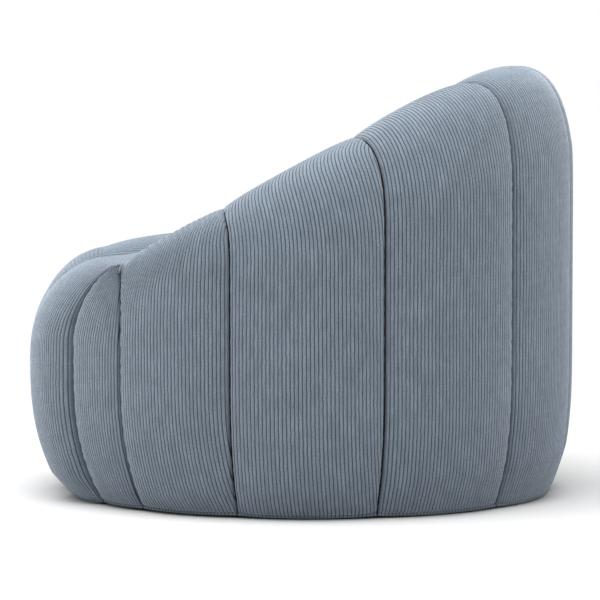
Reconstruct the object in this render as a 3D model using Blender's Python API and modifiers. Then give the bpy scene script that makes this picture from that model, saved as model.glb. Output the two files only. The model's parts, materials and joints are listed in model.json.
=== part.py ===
"""Corduroy bean bag chair: puffed cover panels over a zipped liner bag of beads.

The chair faces -Y, its round base stands on z = 0 and it is symmetric about x = 0.
Plan angles are in degrees from +X towards +Y, so -90 is the front and 90 the back.
"""
import math

import bmesh
import bpy
from mathutils import Vector

# Plan and base (metres)
PLAN_RADIUS = 0.412
BASE_TUCK = 0.041
BASE_SHIFT = 0.016
TUCK_HEIGHT = 0.200
TUCK_POWER = 2.5

# Rim, from the front of the arms to the back
ARM_FRONT_HEIGHT = 0.3625
RIM_SLOPE = 0.54
BACK_HEIGHT = 0.690
RIM_ROUNDING = 0.045
RIM_PUFF = 0.35
RIM_PUFF_REACH = 0.120
RIM_LEAN = 0.026
RIM_LEAN_SPAN = 45.0
RIM_LEAN_REACH = 0.120

# The roll over the rim: how far it reaches on each side of the top, and how far it drops
ROLL_OUTER = 0.067
ROLL_INNER = 0.080
ROLL_OUTER_LIMIT = 0.42
ROLL_INNER_LIMIT = 0.45
ROLL_POWER = 2.5
OUTER_DROP = 0.030
OUTER_DROP_SHARE = 0.45
INNER_DROP_SHARE = 0.30
INNER_RISE_START = 0.012
INNER_WALL_POWER = 1.3

# Seat: plan sizes are in from the wall, heights are from the front of the arms
ARM_WIDTH = 0.147
BACK_DEPTH = 0.254
FRONT_ROLL_DEPTH = 0.112
SEAT_CREST_DEPTH = 0.282
SEAT_FRONT_DROP = 0.0055
SEAT_CREST_RISE = 0.0165
SEAT_REAR_DROP = 0.0245
SEAT_CORNER_ANGLE = 40.0
FRONT_ROLL_DROP = 0.1625
FRONT_ROLL_DROP_AT_ARM = 0.1125
FRONT_POWER = 2.2
FRONT_POWER_AT_ARM = 1.6

# Where the seams meet the crease round the seat: shares of the seat's half width and of its
# depth from the back to the arm's tip, and heights above the seat's rear
CREASE_FRONT = (1.0, 0.5464, 0.034)
CREASE_SIDE = (0.8377, 0.1989, 0.014)
CREASE_CORNER = (0.5472, 0.0479, 0.004)
CREASE_REAR = (0.1698, 0.0048, 0.0)

# Plan angles of the seams on the left half, front to back
SEAM_FRONT_CENTRE = -79.0
SEAM_ARM_FRONT = -54.0
SEAM_GUSSET = -39.0
SEAM_ARM_MIDDLE = -14.0
SEAM_ARM_REAR = 17.0
SEAM_BACK_SIDE = 48.5
SEAM_BACK_CENTRE = 80.0

# Fabrics and clearances
COVER_THICKNESS = 0.003
BASE_THICKNESS = 0.0016
BASE_LIP_HEIGHT = 0.0062
BASE_LIP_WIDTH = 0.010
BASE_LIP_FILLET = 0.003
BASE_LIP_FILLET_RISE = 0.0008
LINER_THICKNESS = 0.0008
LINER_CLEARANCE = 0.007
FILL_CLEARANCE = 0.0062
FLOOR_STACK_GAP = 0.0008
FOOT_INSET = 0.006
SEAM_GAP = 0.0008
CREASE_GAP = 0.013
CREASE_DIP = 0.020
TIP_TRIM = 0.026
TIP_DIP = 0.022
TIP_PULL = 0.12
FIT_GAP = 0.0003

# Puff: fades to a share at a panel's ends, and part of it shows in the filling
END_PUFF = 0.35
END_FADE_RATE = 10.0
FILL_PUFF_SHARE = 0.75
FILL_FADE_RATE = 3.0
PUFF_POWER = 2.5
PUFF_ROUNDING = 0.6
FULL_WIDTH_SHARE = 0.8
SEAT_MIDDLE_SHARE = 0.35

# Zips
COVER_ZIP_LENGTH = 0.500
LINER_ZIP_LENGTH = 0.400
LINER_ZIP_OFFSET = 0.060
SLOT_HALF_WIDTH = 0.0050
CHAIN_GAP = 0.0016
CHAIN_WIDTH = 0.0022
CHAIN_HEIGHT = 0.0014
TAPE_THICKNESS = 0.0006
TAPE_HALF_SPAN = 0.0160
SLIDER_LENGTH = 0.0120
SLIDER_HALF_WIDTH = 0.0040
SLIDER_PLATE = 0.0008
SLIDER_LIP_WIDTH = 0.0007
SLIDER_WEB_WIDTH = 0.0008
SLIDER_WEB_LENGTH = 0.0040
STOP_LENGTH = 0.0040
SLOT_END_GAP = 0.0016
JOIN_OVERLAP = 0.0002
CUT_BELOW = 0.010
CUT_ABOVE = 0.020
LINER_CUT = 0.003

# Mesh density
PATH_SAMPLES = 64
PATH_SMOOTHING = 3
WALL_STEPS = 12
ROLL_STEPS = 10
FRONT_WALL_STEPS = 10
FRONT_ROLL_STEPS = 14
SEAT_STEPS = 20
BASE_STEPS = 64
LIP_STEPS = 5
PANEL_COLUMNS = 6
ARM_ROWS = 18
RISE_ROWS = 10
SEAT_ROWS = 9
BAG_RISE_ROWS = 17
BAG_SEAT_ROWS = 4

# Each panel's puff height and how far its fullest line leans to its rear seam
PUFFS = {
    "front_centre": (0.014, 0.0),
    "front_side": (0.026, 0.35),
    "arm_gusset": (0.008, 0.0),
    "arm_front": (0.013, 0.0),
    "arm_middle": (0.017, 0.0),
    "arm_rear": (0.017, 0.0),
    "back_side": (0.017, 0.0),
    "back_centre": (0.0137, 0.0),
}


# --- Small helpers ---------------------------------------------------------

def lerp(a, b, share):
    return a + (b - a) * share


def polar(radius, angle, z=0.0):
    turn = math.radians(angle)
    return Vector((radius * math.cos(turn), radius * math.sin(turn), z))


def mirrored(point):
    return Vector((-point.x, point.y, point.z))


def resample(points, count):
    """The same line with count + 1 points, evenly spaced along it."""
    lengths = [0.0]
    for before, after in zip(points, points[1:]):
        lengths.append(lengths[-1] + (after - before).length)
    result = []
    segment = 0
    for step in range(count + 1):
        target = lengths[-1] * step / count
        while segment < len(points) - 2 and lengths[segment + 1] < target:
            segment += 1
        span = lengths[segment + 1] - lengths[segment]
        share = (target - lengths[segment]) / span if span > 1e-9 else 0.0
        result.append(points[segment].lerp(points[segment + 1], min(share, 1.0)))
    return result


def smoothed(points, passes):
    """The line with its kinks eased and its two ends kept."""
    for _ in range(passes):
        inner = [(a + b * 2 + c) / 4 for a, b, c in zip(points, points[1:], points[2:])]
        points = [points[0]] + inner + [points[-1]]
    return points


def catmull_rom(knots, position):
    """A smooth curve through (position, point) knots, read at one position."""
    index = 1
    while index < len(knots) - 3 and knots[index + 1][0] < position:
        index += 1
    (before, a), (start, b), (end, c), (after, d) = knots[index - 1:index + 3]
    share = (position - start) / (end - start)
    slope_b = (c - a) * ((end - start) / (end - before))
    slope_c = (d - b) * ((end - start) / (after - start))
    square, cube = share ** 2, share ** 3
    return (b * (2 * cube - 3 * square + 1) + slope_b * (cube - 2 * square + share)
            + c * (3 * square - 2 * cube) + slope_c * (cube - square))


# --- The chair's surface, before its panels are puffed --------------------------

def base_size():
    return PLAN_RADIUS - BASE_TUCK


def base_radius(angle):
    """Distance from the origin to the shifted base circle at one plan angle."""
    turn = math.radians(angle)
    across = BASE_SHIFT * math.cos(turn)
    return BASE_SHIFT * math.sin(turn) + math.sqrt(base_size() ** 2 - across ** 2)


def base_edge_height():
    """Height of the cover panels' bottom edges, just above the base fabric's lip."""
    return BASE_LIP_HEIGHT + 2 * FIT_GAP


def wall_point(angle, z):
    """The upright wall, which tucks in towards the base."""
    tuck = max(0.0, 1 - z / TUCK_HEIGHT) ** TUCK_POWER
    return polar(lerp(PLAN_RADIUS, base_radius(angle), tuck), angle, z)


def wall_points(angle, top, steps):
    """Evenly spaced heights up the wall, from the panels' bottom edges."""
    return [wall_point(angle, lerp(base_edge_height(), top, step / steps))
            for step in range(steps + 1)]


def arm_tip():
    """Where the arm's rim starts, at the top of the gusset."""
    return polar(PLAN_RADIUS, SEAM_GUSSET, ARM_FRONT_HEIGHT)


def rim_height(y):
    """The rim rises steadily along the arms and levels out at the back."""
    straight = ARM_FRONT_HEIGHT + RIM_SLOPE * (y - arm_tip().y)
    excess = (BACK_HEIGHT - straight) / RIM_ROUNDING
    return BACK_HEIGHT - RIM_ROUNDING * math.log1p(math.exp(excess))


def seat_half_width():
    return PLAN_RADIUS - ARM_WIDTH


def seat_back_y():
    return PLAN_RADIUS - BACK_DEPTH


def seat_front_y():
    return FRONT_ROLL_DEPTH - PLAN_RADIUS


def seat_crest_y():
    return SEAT_CREST_DEPTH - PLAN_RADIUS


def seat_rear_height():
    return ARM_FRONT_HEIGHT - SEAT_REAR_DROP


def crease_point(angle):
    """The U-shaped crease where the arms and back come down to the seat."""
    tip = arm_tip()
    back = seat_back_y()
    low = seat_rear_height()
    front, side, corner, rear = [
        Vector((seat_half_width() * across, lerp(back, tip.y, forward), low + rise))
        for across, forward, rise in (CREASE_FRONT, CREASE_SIDE, CREASE_CORNER, CREASE_REAR)]
    middle = Vector((0.0, back, low))
    knots = [
        (2 * SEAM_GUSSET - SEAM_ARM_MIDDLE, tip * 2 - front),
        (SEAM_GUSSET, tip),
        (SEAM_ARM_MIDDLE, front),
        (SEAM_ARM_REAR, side),
        (SEAM_BACK_SIDE, corner),
        (SEAM_BACK_CENTRE, rear),
        (90.0, middle),
        (180 - SEAM_BACK_CENTRE, mirrored(rear)),
    ]
    return catmull_rom(knots, angle)


def rounding(power, steps):
    """Shares (along, up) of a superellipse quarter, from upright to level."""
    turns = [math.pi / 2 * step / steps for step in range(1, steps + 1)]
    return [(1 - max(0.0, math.cos(turn)) ** (2 / power), math.sin(turn) ** (2 / power))
            for turn in turns]


def arm_path(angle):
    """Up the wall, over the rim and down to the crease, at one plan angle from -39 to 90."""
    start = polar(PLAN_RADIUS, angle)
    end = crease_point(angle)
    flat_end = Vector((end.x, end.y, 0.0))
    reach = (flat_end - start).length
    outer = min(ROLL_OUTER, ROLL_OUTER_LIMIT * reach)
    inner = min(ROLL_INNER, ROLL_INNER_LIMIT * reach)
    lean = RIM_LEAN * max(0.0, 1 - (angle / RIM_LEAN_SPAN) ** 2) * min(1.0, reach / RIM_LEAN_REACH)

    def place(distance, z):
        share = distance / reach if reach > 1e-6 else 1.0
        point = start.lerp(flat_end, share)
        return Vector((point.x, point.y - lean * 4 * share * (1 - share), z))

    top = rim_height(place(outer, 0.0).y)
    rise = max(0.0, top - seat_rear_height() - INNER_RISE_START)
    outer_drop = OUTER_DROP + OUTER_DROP_SHARE * rise
    inner_drop = INNER_DROP_SHARE * rise
    low = top - outer_drop
    points = wall_points(angle, low, WALL_STEPS)
    for along, up in rounding(ROLL_POWER, ROLL_STEPS):
        points.append(place(outer * along, low + outer_drop * up))
    for down, along in rounding(ROLL_POWER, ROLL_STEPS):
        points.append(place(outer + inner * along, top - inner_drop * down))
    shoulder = points[-1].z
    for step in range(1, ROLL_STEPS + 1):
        share = step / ROLL_STEPS
        along = lerp(outer + inner, reach, share ** INNER_WALL_POWER)
        points.append(place(along, lerp(shoulder, end.z, share)))
    return smoothed(resample(points, PATH_SAMPLES), PATH_SMOOTHING)


def seat_height(y):
    """The seat's centre line: highest behind its front edge, lower at the back."""
    crest = ARM_FRONT_HEIGHT + SEAT_CREST_RISE
    if y < seat_crest_y():
        share = (seat_crest_y() - y) / (seat_crest_y() - seat_front_y())
        return crest - (SEAT_CREST_RISE + SEAT_FRONT_DROP) * share ** 2
    share = (y - seat_crest_y()) / (seat_back_y() - seat_crest_y())
    return crest - (SEAT_CREST_RISE + SEAT_REAR_DROP) * share ** 2


def front_top(across):
    """Top of the rounded front edge, from the centre (0) to the arm's tip (1)."""
    tip = arm_tip()
    return Vector((tip.x * across,
                   lerp(seat_front_y(), tip.y, across ** 2),
                   lerp(tip.z - SEAT_FRONT_DROP, tip.z, across ** 2)))


def front_rise(across):
    """Up the front wall and over its rounded edge, from the centre (0) to the arm (1)."""
    angle = lerp(-90.0, SEAM_ARM_FRONT, across)
    low = ARM_FRONT_HEIGHT - lerp(FRONT_ROLL_DROP, FRONT_ROLL_DROP_AT_ARM, across)
    start, end = wall_point(angle, low), front_top(across)
    points = wall_points(angle, low, FRONT_WALL_STEPS)
    for along, up in rounding(lerp(FRONT_POWER, FRONT_POWER_AT_ARM, across), FRONT_ROLL_STEPS):
        place = start.lerp(end, along)
        points.append(Vector((place.x, place.y, lerp(start.z, end.z, up))))
    return points


def seat_point(across, along):
    """The seat, from its front edge (along 0) to the rear of the crease (along 1)."""
    y = lerp(seat_front_y(), seat_back_y(), along)
    centre = Vector((0.0, y, seat_height(y)))
    edge = crease_point(lerp(SEAM_GUSSET, SEAT_CORNER_ANGLE, along))
    front_error = front_top(across) - front_top(0.0).lerp(front_top(1.0), across)
    rear = crease_point(lerp(90.0, SEAT_CORNER_ANGLE, across))
    rear_chord = crease_point(90.0).lerp(crease_point(SEAT_CORNER_ANGLE), across)
    return (centre.lerp(edge, across) + front_error * (1 - along)
            + (rear - rear_chord) * along)


def front_path(across):
    """The front wall, its rounded edge and the seat, from the centre (0) to the arm (1)."""
    if across < 0:
        return [mirrored(point) for point in front_path(-across)]
    seat = [seat_point(across, step / SEAT_STEPS) for step in range(SEAT_STEPS + 1)]
    return resample(front_rise(across), RISE_ROWS) + resample(seat, SEAT_ROWS)[1:]


def gusset_path(share):
    """The arm's front wedge, between the front block's seam (0) and the gusset seam (1)."""
    front = resample(front_rise(1.0), RISE_ROWS)
    rear = resample(arm_path(SEAM_GUSSET), RISE_ROWS)
    points = []
    for a, b in zip(front, rear):
        radius = lerp(math.hypot(a.x, a.y), math.hypot(b.x, b.y), share)
        turn_a = math.degrees(math.atan2(a.y, a.x))
        turn_b = math.degrees(math.atan2(b.y, b.x))
        points.append(polar(radius, lerp(turn_a, turn_b, share), lerp(a.z, b.z, share)))
    return points


# --- Sheets of points and the meshes made from them ------------------------------

def sheet_normals(rows):
    """Outward directions of a sheet given as rows of points."""
    last_row, last_column = len(rows) - 1, len(rows[0]) - 1
    normals = []
    for r in range(last_row + 1):
        line = []
        for c in range(last_column + 1):
            across = rows[r][min(c + 1, last_column)] - rows[r][max(c - 1, 0)]
            along = rows[min(r + 1, last_row)][c] - rows[max(r - 1, 0)][c]
            line.append(across.cross(along).normalized())
        normals.append(line)
    return normals


def puff_share(across, lean):
    """Height of a puffed panel across its width (0 to 1), as a share of its fullest."""
    side = abs(2 * across - 1)
    return (1 - side ** PUFF_POWER) ** PUFF_ROUNDING * (1 + lean * (2 * across - 1))


def rim_fade(column, r):
    """Share of its puff that a panel keeps where it goes over the rim."""
    below = max(point.z for point in column) - column[r].z
    return lerp(RIM_PUFF, 1.0, min(1.0, below / RIM_PUFF_REACH))


def panel_sheet(path_at, puff, lean, kind):
    """A panel's puffed outer face as rows of points, trimmed by the gaps all round."""
    columns = [path_at(c / PANEL_COLUMNS) for c in range(PANEL_COLUMNS + 1)]
    last = len(columns[0]) - 1
    rows = [[column[r] for column in columns] for r in range(last + 1)]
    normals = sheet_normals(rows)
    widest = max(row_length(row) for row in rows)
    for r, row in enumerate(rows):
        fade = min(1.0, END_PUFF + END_FADE_RATE * min(r, last - r) / last)
        fullness = puff * fade * min(1.0, row_length(row) / (FULL_WIDTH_SHARE * widest))
        for c in range(1, PANEL_COLUMNS):
            height = fullness * puff_share(c / PANEL_COLUMNS, lean)
            if kind not in ("front_centre", "front_side", "arm_gusset"):
                height *= rim_fade(columns[c], r)
            row[c] += normals[r][c] * height
        beside_crease = kind == "front_side" and r > RISE_ROWS
        side_gap = 2 * SEAM_GAP if kind == "arm_gusset" else SEAM_GAP
        trim_line(row, side_gap / 2, (CREASE_GAP if beside_crease else side_gap) / 2)
    for c in range(PANEL_COLUMNS + 1):
        column = [row[c] for row in rows]
        trim_line(column, SEAM_GAP / 2, TIP_TRIM if kind == "arm_gusset" else CREASE_GAP / 2)
        rows[0][c], rows[-1][c] = column[0], column[-1]
    return rows


def row_length(row):
    return sum((b - a).length for a, b in zip(row, row[1:]))


def trim_line(line, at_start, at_end):
    """Pulls both ends of a line in, each by its own distance."""
    first = line[1] - line[0]
    last = line[-2] - line[-1]
    line[0] = line[0] + first.normalized() * min(at_start, 0.6 * first.length)
    line[-1] = line[-1] + last.normalized() * min(at_end, 0.6 * last.length)


def sheet_mesh(name, rows, merge=False, flipped=False):
    """A mesh grid moved onto rows of points, and mirrored in x if it is flipped."""
    row_count, column_count = len(rows) - 1, len(rows[0]) - 1
    bm = bmesh.new()
    bmesh.ops.create_grid(bm, x_segments=column_count, y_segments=row_count, size=0.5)
    for vertex in bm.verts:
        c = round((vertex.co.x + 0.5) * column_count)
        r = round((vertex.co.y + 0.5) * row_count)
        vertex.co = rows[r][c]
    if merge:
        bmesh.ops.remove_doubles(bm, verts=bm.verts, dist=1e-6)
    bmesh.ops.triangulate(bm, faces=bm.faces, quad_method="FIXED")
    if flipped:
        for vertex in bm.verts:
            vertex.co.x = -vertex.co.x
        bmesh.ops.reverse_faces(bm, faces=bm.faces)
    mesh = bpy.data.meshes.new(name)
    bm.to_mesh(mesh)
    bm.free()
    return mesh


# --- Scene set-up ------------------------------------------------------------

def clear_scene():
    for item in list(bpy.data.objects):
        bpy.data.objects.remove(item, do_unlink=True)


def new_collection(name):
    collection = bpy.data.collections.new(name)
    bpy.context.scene.collection.children.link(collection)
    return collection


def new_material(name, colour, roughness, metallic=0.0):
    material = bpy.data.materials.new(name)
    material.use_nodes = True
    shader = material.node_tree.nodes["Principled BSDF"]
    shader.inputs["Base Color"].default_value = (*colour, 1.0)
    shader.inputs["Roughness"].default_value = roughness
    shader.inputs["Metallic"].default_value = metallic
    return material


def add_object(name, mesh, collection, material=None, location=(0, 0, 0)):
    item = bpy.data.objects.new(name, mesh)
    item.location = location
    if material:
        mesh.materials.append(material)
    collection.objects.link(item)
    return item


def add_solidify(item, thickness):
    shell = item.modifiers.new("thickness", "SOLIDIFY")
    shell.thickness = thickness
    shell.offset = -1.0


def box_mesh(name, low, high):
    """A box between two corners."""
    low, high = Vector(low), Vector(high)
    bm = bmesh.new()
    bmesh.ops.create_cube(bm, size=1.0)
    size = high - low
    for vertex in bm.verts:
        vertex.co = low + Vector(((vertex.co.x + 0.5) * size.x,
                                  (vertex.co.y + 0.5) * size.y,
                                  (vertex.co.z + 0.5) * size.z))
    mesh = bpy.data.meshes.new(name)
    bm.to_mesh(mesh)
    bm.free()
    return mesh


def add_cutter(name, low, high, cutters):
    cutter = add_object(name, box_mesh(name, low, high), cutters)
    cutter.hide_render = True
    cutter.display_type = "WIRE"
    return cutter


def cut(item, cutter):
    modifier = item.modifiers.new("cut", "BOOLEAN")
    modifier.operation = "DIFFERENCE"
    modifier.solver = "EXACT"
    modifier.object = cutter


# --- Cover panels --------------------------------------------------------------

def add_panel(name, kind, path_at, flipped, collection, material):
    """One puffed cover panel; a flipped one is the same on the chair's right half."""
    puff, lean = PUFFS[kind]
    rows = panel_sheet(path_at, puff, lean, kind)
    mesh = sheet_mesh(name, rows, flipped=flipped)
    mesh.shade_smooth()
    panel = add_object(name, mesh, collection, material)
    add_solidify(panel, COVER_THICKNESS)
    return panel


def arm_span(start, end):
    """Paths between two seam angles of the arms and back."""
    def path_at(share):
        angle = lerp(start, end, share)
        if angle > 90.0:
            return [mirrored(point) for point in resample(arm_path(180.0 - angle), ARM_ROWS)]
        return resample(arm_path(angle), ARM_ROWS)
    return path_at


def front_share(angle):
    """A front seam's plan angle as a share of the way from the centre to the arm."""
    return (angle + 90.0) / (SEAM_ARM_FRONT + 90.0)


def add_cover(collection, material):
    centre = front_share(SEAM_FRONT_CENTRE)
    add_panel("front_centre_panel", "front_centre",
              lambda share: front_path(lerp(-centre, centre, share)), False, collection, material)
    add_panel("back_centre_panel", "back_centre",
              arm_span(SEAM_BACK_CENTRE, 180 - SEAM_BACK_CENTRE), False, collection, material)
    pairs = {
        "front_side": lambda share: front_path(lerp(centre, 1.0, share)),
        "arm_gusset": gusset_path,
        "arm_front": arm_span(SEAM_GUSSET, SEAM_ARM_MIDDLE),
        "arm_middle": arm_span(SEAM_ARM_MIDDLE, SEAM_ARM_REAR),
        "arm_rear": arm_span(SEAM_ARM_REAR, SEAM_BACK_SIDE),
        "back_side": arm_span(SEAM_BACK_SIDE, SEAM_BACK_CENTRE),
    }
    for kind, path_at in pairs.items():
        add_panel(kind + "_panel_left", kind, path_at, False, collection, material)
        add_panel(kind + "_panel_right", kind, path_at, True, collection, material)


# --- Base fabric ---------------------------------------------------------------

def base_mesh(name):
    """A round fabric disc whose edge turns up in a short lip, as a turned profile."""
    radius = base_size()
    lip_start = radius - BASE_LIP_WIDTH
    inside = radius - BASE_THICKNESS
    turns = [math.pi / 2 * step / LIP_STEPS for step in range(LIP_STEPS + 1)]
    lip = [(lip_start + BASE_LIP_WIDTH * math.sin(turn), BASE_LIP_HEIGHT * (1 - math.cos(turn)))
           for turn in turns]
    profile = [(0.0, 0.0)] + lip + [
        (inside, BASE_LIP_HEIGHT),
        (inside - BASE_LIP_FILLET, BASE_THICKNESS + BASE_LIP_FILLET_RISE),
        (lip_start, BASE_THICKNESS),
        (0.0, BASE_THICKNESS),
    ]
    bm = bmesh.new()
    line = [bm.verts.new((across, 0.0, z)) for across, z in profile]
    edges = [bm.edges.new(pair) for pair in zip(line, line[1:] + line[:1])]
    bmesh.ops.spin(bm, geom=line + edges, cent=(0, 0, 0), axis=(0, 0, 1),
                   angle=2 * math.pi, steps=BASE_STEPS, use_merge=True)
    bmesh.ops.remove_doubles(bm, verts=bm.verts, dist=1e-6)
    bmesh.ops.recalc_face_normals(bm, faces=bm.faces)
    mesh = bpy.data.meshes.new(name)
    bm.to_mesh(mesh)
    bm.free()
    return mesh


def slot_half_length(zip_length):
    """Half the length of the slot in the fabric that a zip closes."""
    return zip_length / 2 + STOP_LENGTH + SLOT_END_GAP


def add_base(collection, cutters, material):
    """Two base halves, sewn edge to edge past the ends of the zip's slot."""
    reach = 2 * base_size()
    end = slot_half_length(COVER_ZIP_LENGTH)
    slot = add_cutter("zip_slot_cutter", (-end, -SLOT_HALF_WIDTH, -CUT_BELOW),
                      (end, SLOT_HALF_WIDTH, CUT_ABOVE), cutters)
    slot.location.y = BASE_SHIFT
    spans = {"base_front_half": (-SEAM_GAP / 2, reach), "base_rear_half": (-reach, SEAM_GAP / 2)}
    for name, (near, far) in spans.items():
        half = add_object(name, base_mesh(name), collection, material, (0, BASE_SHIFT, 0))
        other = add_cutter(name + "_cutter", (-reach, near, -CUT_BELOW),
                           (reach, far, CUT_ABOVE), cutters)
        other.location.y = BASE_SHIFT
        cut(half, other)
        cut(half, slot)


# --- Zips ------------------------------------------------------------------------

def slider_meshes(name):
    """A zip slider's two plates, the web that joins them and their turned lips."""
    half = SLIDER_LENGTH / 2
    width = SLIDER_HALF_WIDTH
    inside = CHAIN_HEIGHT / 2 + FIT_GAP
    outside = inside + SLIDER_PLATE
    lip = TAPE_THICKNESS / 2 + FIT_GAP
    pieces = [
        ((-half, -width, -outside), (half, width, -inside)),
        ((-half, -width, inside), (half, width, outside)),
        ((-SLIDER_WEB_LENGTH / 2, -SLIDER_WEB_WIDTH / 2, -inside - JOIN_OVERLAP),
         (SLIDER_WEB_LENGTH / 2, SLIDER_WEB_WIDTH / 2, inside + JOIN_OVERLAP)),
    ]
    for side in (-1, 1):
        edge = sorted((side * width, side * (width - SLIDER_LIP_WIDTH)))
        pieces.append(((-half, edge[0], -inside - JOIN_OVERLAP), (half, edge[1], -lip)))
        pieces.append(((-half, edge[0], lip), (half, edge[1], inside + JOIN_OVERLAP)))
    return [box_mesh(name, low, high) for low, high in pieces]


def add_slider(name, centre, collection, cutters, material):
    body, *others = slider_meshes(name)
    slider = add_object(name, body, collection, material, centre)
    for index, mesh in enumerate(others):
        piece = add_object(f"{name}_piece_{index}", mesh, cutters, None, centre)
        piece.hide_render = True
        piece.display_type = "WIRE"
        join = slider.modifiers.new("join", "BOOLEAN")
        join.operation = "UNION"
        join.solver = "EXACT"
        join.object = piece
    return slider


def add_zip(prefix, length, y, z, collection, cutters, fabric, plastic, metal):
    """A zip along X at height z: two tapes, two chains, two stops and a slider at its +X end."""
    half = length / 2
    chain_in = CHAIN_GAP / 2
    chain_out = chain_in + CHAIN_WIDTH
    end = half + FIT_GAP + STOP_LENGTH
    for label, side in (("front", -1), ("rear", 1)):
        edge = sorted((side * chain_in, side * chain_out))
        chain = box_mesh(prefix + "_chain", (-half, edge[0], -CHAIN_HEIGHT / 2),
                         (half, edge[1], CHAIN_HEIGHT / 2))
        add_object(f"{prefix}_chain_{label}", chain, collection, plastic, (0, y, z))
        edge = sorted((side * (chain_out + FIT_GAP), side * TAPE_HALF_SPAN))
        tape = box_mesh(prefix + "_tape", (-end, edge[0], -TAPE_THICKNESS / 2),
                        (end, edge[1], TAPE_THICKNESS / 2))
        add_object(f"{prefix}_tape_{label}", tape, collection, fabric, (0, y, z))
    for label, side in (("bottom_stop", -1), ("top_stop", 1)):
        span = sorted((side * (half + FIT_GAP), side * end))
        stop = box_mesh(f"{prefix}_{label}", (span[0], -chain_out, -CHAIN_HEIGHT / 2),
                        (span[1], chain_out, CHAIN_HEIGHT / 2))
        add_object(f"{prefix}_{label}", stop, collection, metal, (0, y, z))
    rest = half - SLIDER_LENGTH / 2 - FIT_GAP
    add_slider(f"{prefix}_slider", (rest, y, z), collection, cutters, metal)


def zip_height(fabric_top):
    """Height of a zip's middle when its tapes lie on the fabric."""
    return fabric_top + FIT_GAP + TAPE_THICKNESS / 2


def above_zip(fabric_top):
    """The lowest height that clears a zip's slider, for what lies on the zip."""
    return zip_height(fabric_top) + CHAIN_HEIGHT / 2 + FIT_GAP + SLIDER_PLATE + FLOOR_STACK_GAP


def liner_bottom():
    return above_zip(BASE_THICKNESS)


def liner_depth():
    """How far the liner lies inside the cover's outer face."""
    return COVER_THICKNESS + LINER_CLEARANCE


# --- Liner bag and filling -----------------------------------------------------

def seat_middle():
    """The point of the seat where the liner's and the filling's lines meet."""
    y = lerp(seat_crest_y(), seat_back_y(), SEAT_MIDDLE_SHARE)
    return Vector((0.0, y, seat_height(y)))


def lowered(line, drop):
    """The line with its upper half eased down, by the full drop at its end."""
    last = len(line) - 1
    return [point - Vector((0, 0, drop * max(0.0, 2 * step / last - 1)))
            for step, point in enumerate(line)]


def bag_lines():
    """Lines up half the bag, each with its puff, from the base edge to the seat's edge."""
    centre = front_share(SEAM_FRONT_CENTRE)
    lines = [
        (front_rise(0.0), PUFFS["front_centre"][0]),
        (front_rise(centre), 0.0),
        (front_rise(lerp(centre, 1.0, 0.5)), PUFFS["front_side"][0]),
        (lowered(gusset_path(0.5)[:-1] + [arm_tip().lerp(seat_middle(), TIP_PULL)], TIP_DIP), 0.0),
        (lowered(arm_path(lerp(SEAM_GUSSET, SEAM_ARM_MIDDLE, 0.5)), TIP_DIP / 3),
         PUFFS["arm_front"][0] / 2),
    ]
    seams = (SEAM_ARM_MIDDLE, SEAM_ARM_REAR, SEAM_BACK_SIDE, SEAM_BACK_CENTRE)
    for start, end, kind in zip(seams, seams[1:], ("arm_middle", "arm_rear", "back_side")):
        lines.append((arm_path(start), 0.0))
        lines.append((arm_path(lerp(start, end, 0.5)), PUFFS[kind][0]))
    lines.append((arm_path(SEAM_BACK_CENTRE), 0.0))
    lines.append((arm_path(90.0), PUFFS["back_centre"][0]))
    return lines


def bag_columns(lines):
    """Each line carried on from the dipped seat edge to the middle of the seat."""
    middle = seat_middle()
    columns = []
    for line, _ in lines:
        crest = max(point.z for point in line)
        dipped = line[-1] - Vector((0, 0, min(CREASE_DIP, (crest - line[-1].z) / 2)))
        rise = resample(line[:-1] + [dipped], BAG_RISE_ROWS)
        columns.append(rise + resample([dipped, middle], BAG_SEAT_ROWS)[1:])
    return columns


def bag_sheet(depth, bottom):
    """A closed bag inside the cover, as rows of points around it from the base to the seat."""
    half = bag_lines()
    lines = half + [([mirrored(point) for point in line], puff) for line, puff in half[-2:0:-1]]
    columns = bag_columns(lines)
    top = BAG_RISE_ROWS + BAG_SEAT_ROWS
    rows = []
    for r in range(top + 1):
        fade = min(1.0, FILL_FADE_RATE * r / top, FILL_FADE_RATE * (top - r) / top)
        row = []
        for column, (_, puff) in zip(columns, lines):
            around = Vector((-column[0].y, column[0].x, 0.0))
            along = column[min(r + 1, top)] - column[max(r - 1, 0)]
            height = puff * FILL_PUFF_SHARE * fade * rim_fade(column, r)
            row.append(column[r] + around.cross(along).normalized() * (height - depth))
        rows.append(row)
    floor_centre = Vector((0.0, BASE_SHIFT, bottom))
    rows[0] = []
    for point in rows[1]:
        outward = Vector((point.x, point.y, bottom)) - floor_centre
        foot = outward.normalized() * (base_size() - depth - FOOT_INSET)
        rows[0].append(floor_centre + foot)
    ring = [floor_centre.lerp(point, 0.5) for point in rows[0]]
    pole = [floor_centre.copy() for _ in rows[0]]
    rows[-1] = [seat_middle() - Vector((0, 0, depth)) for _ in rows[0]]
    return [row + [row[0].copy()] for row in [pole, ring] + rows]


def add_liner(collection, cutters, material):
    """The liner bag, open along the slot that its zip closes."""
    bottom = liner_bottom()
    mesh = sheet_mesh("liner_bag", bag_sheet(liner_depth(), bottom), merge=True)
    mesh.shade_smooth()
    liner = add_object("liner_bag", mesh, collection, material)
    add_solidify(liner, LINER_THICKNESS)
    end = slot_half_length(LINER_ZIP_LENGTH)
    y = BASE_SHIFT + LINER_ZIP_OFFSET
    slot = add_cutter("liner_slot_cutter", (-end, y - SLOT_HALF_WIDTH, bottom - LINER_CUT),
                      (end, y + SLOT_HALF_WIDTH, bottom + LINER_CUT), cutters)
    cut(liner, slot)


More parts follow.
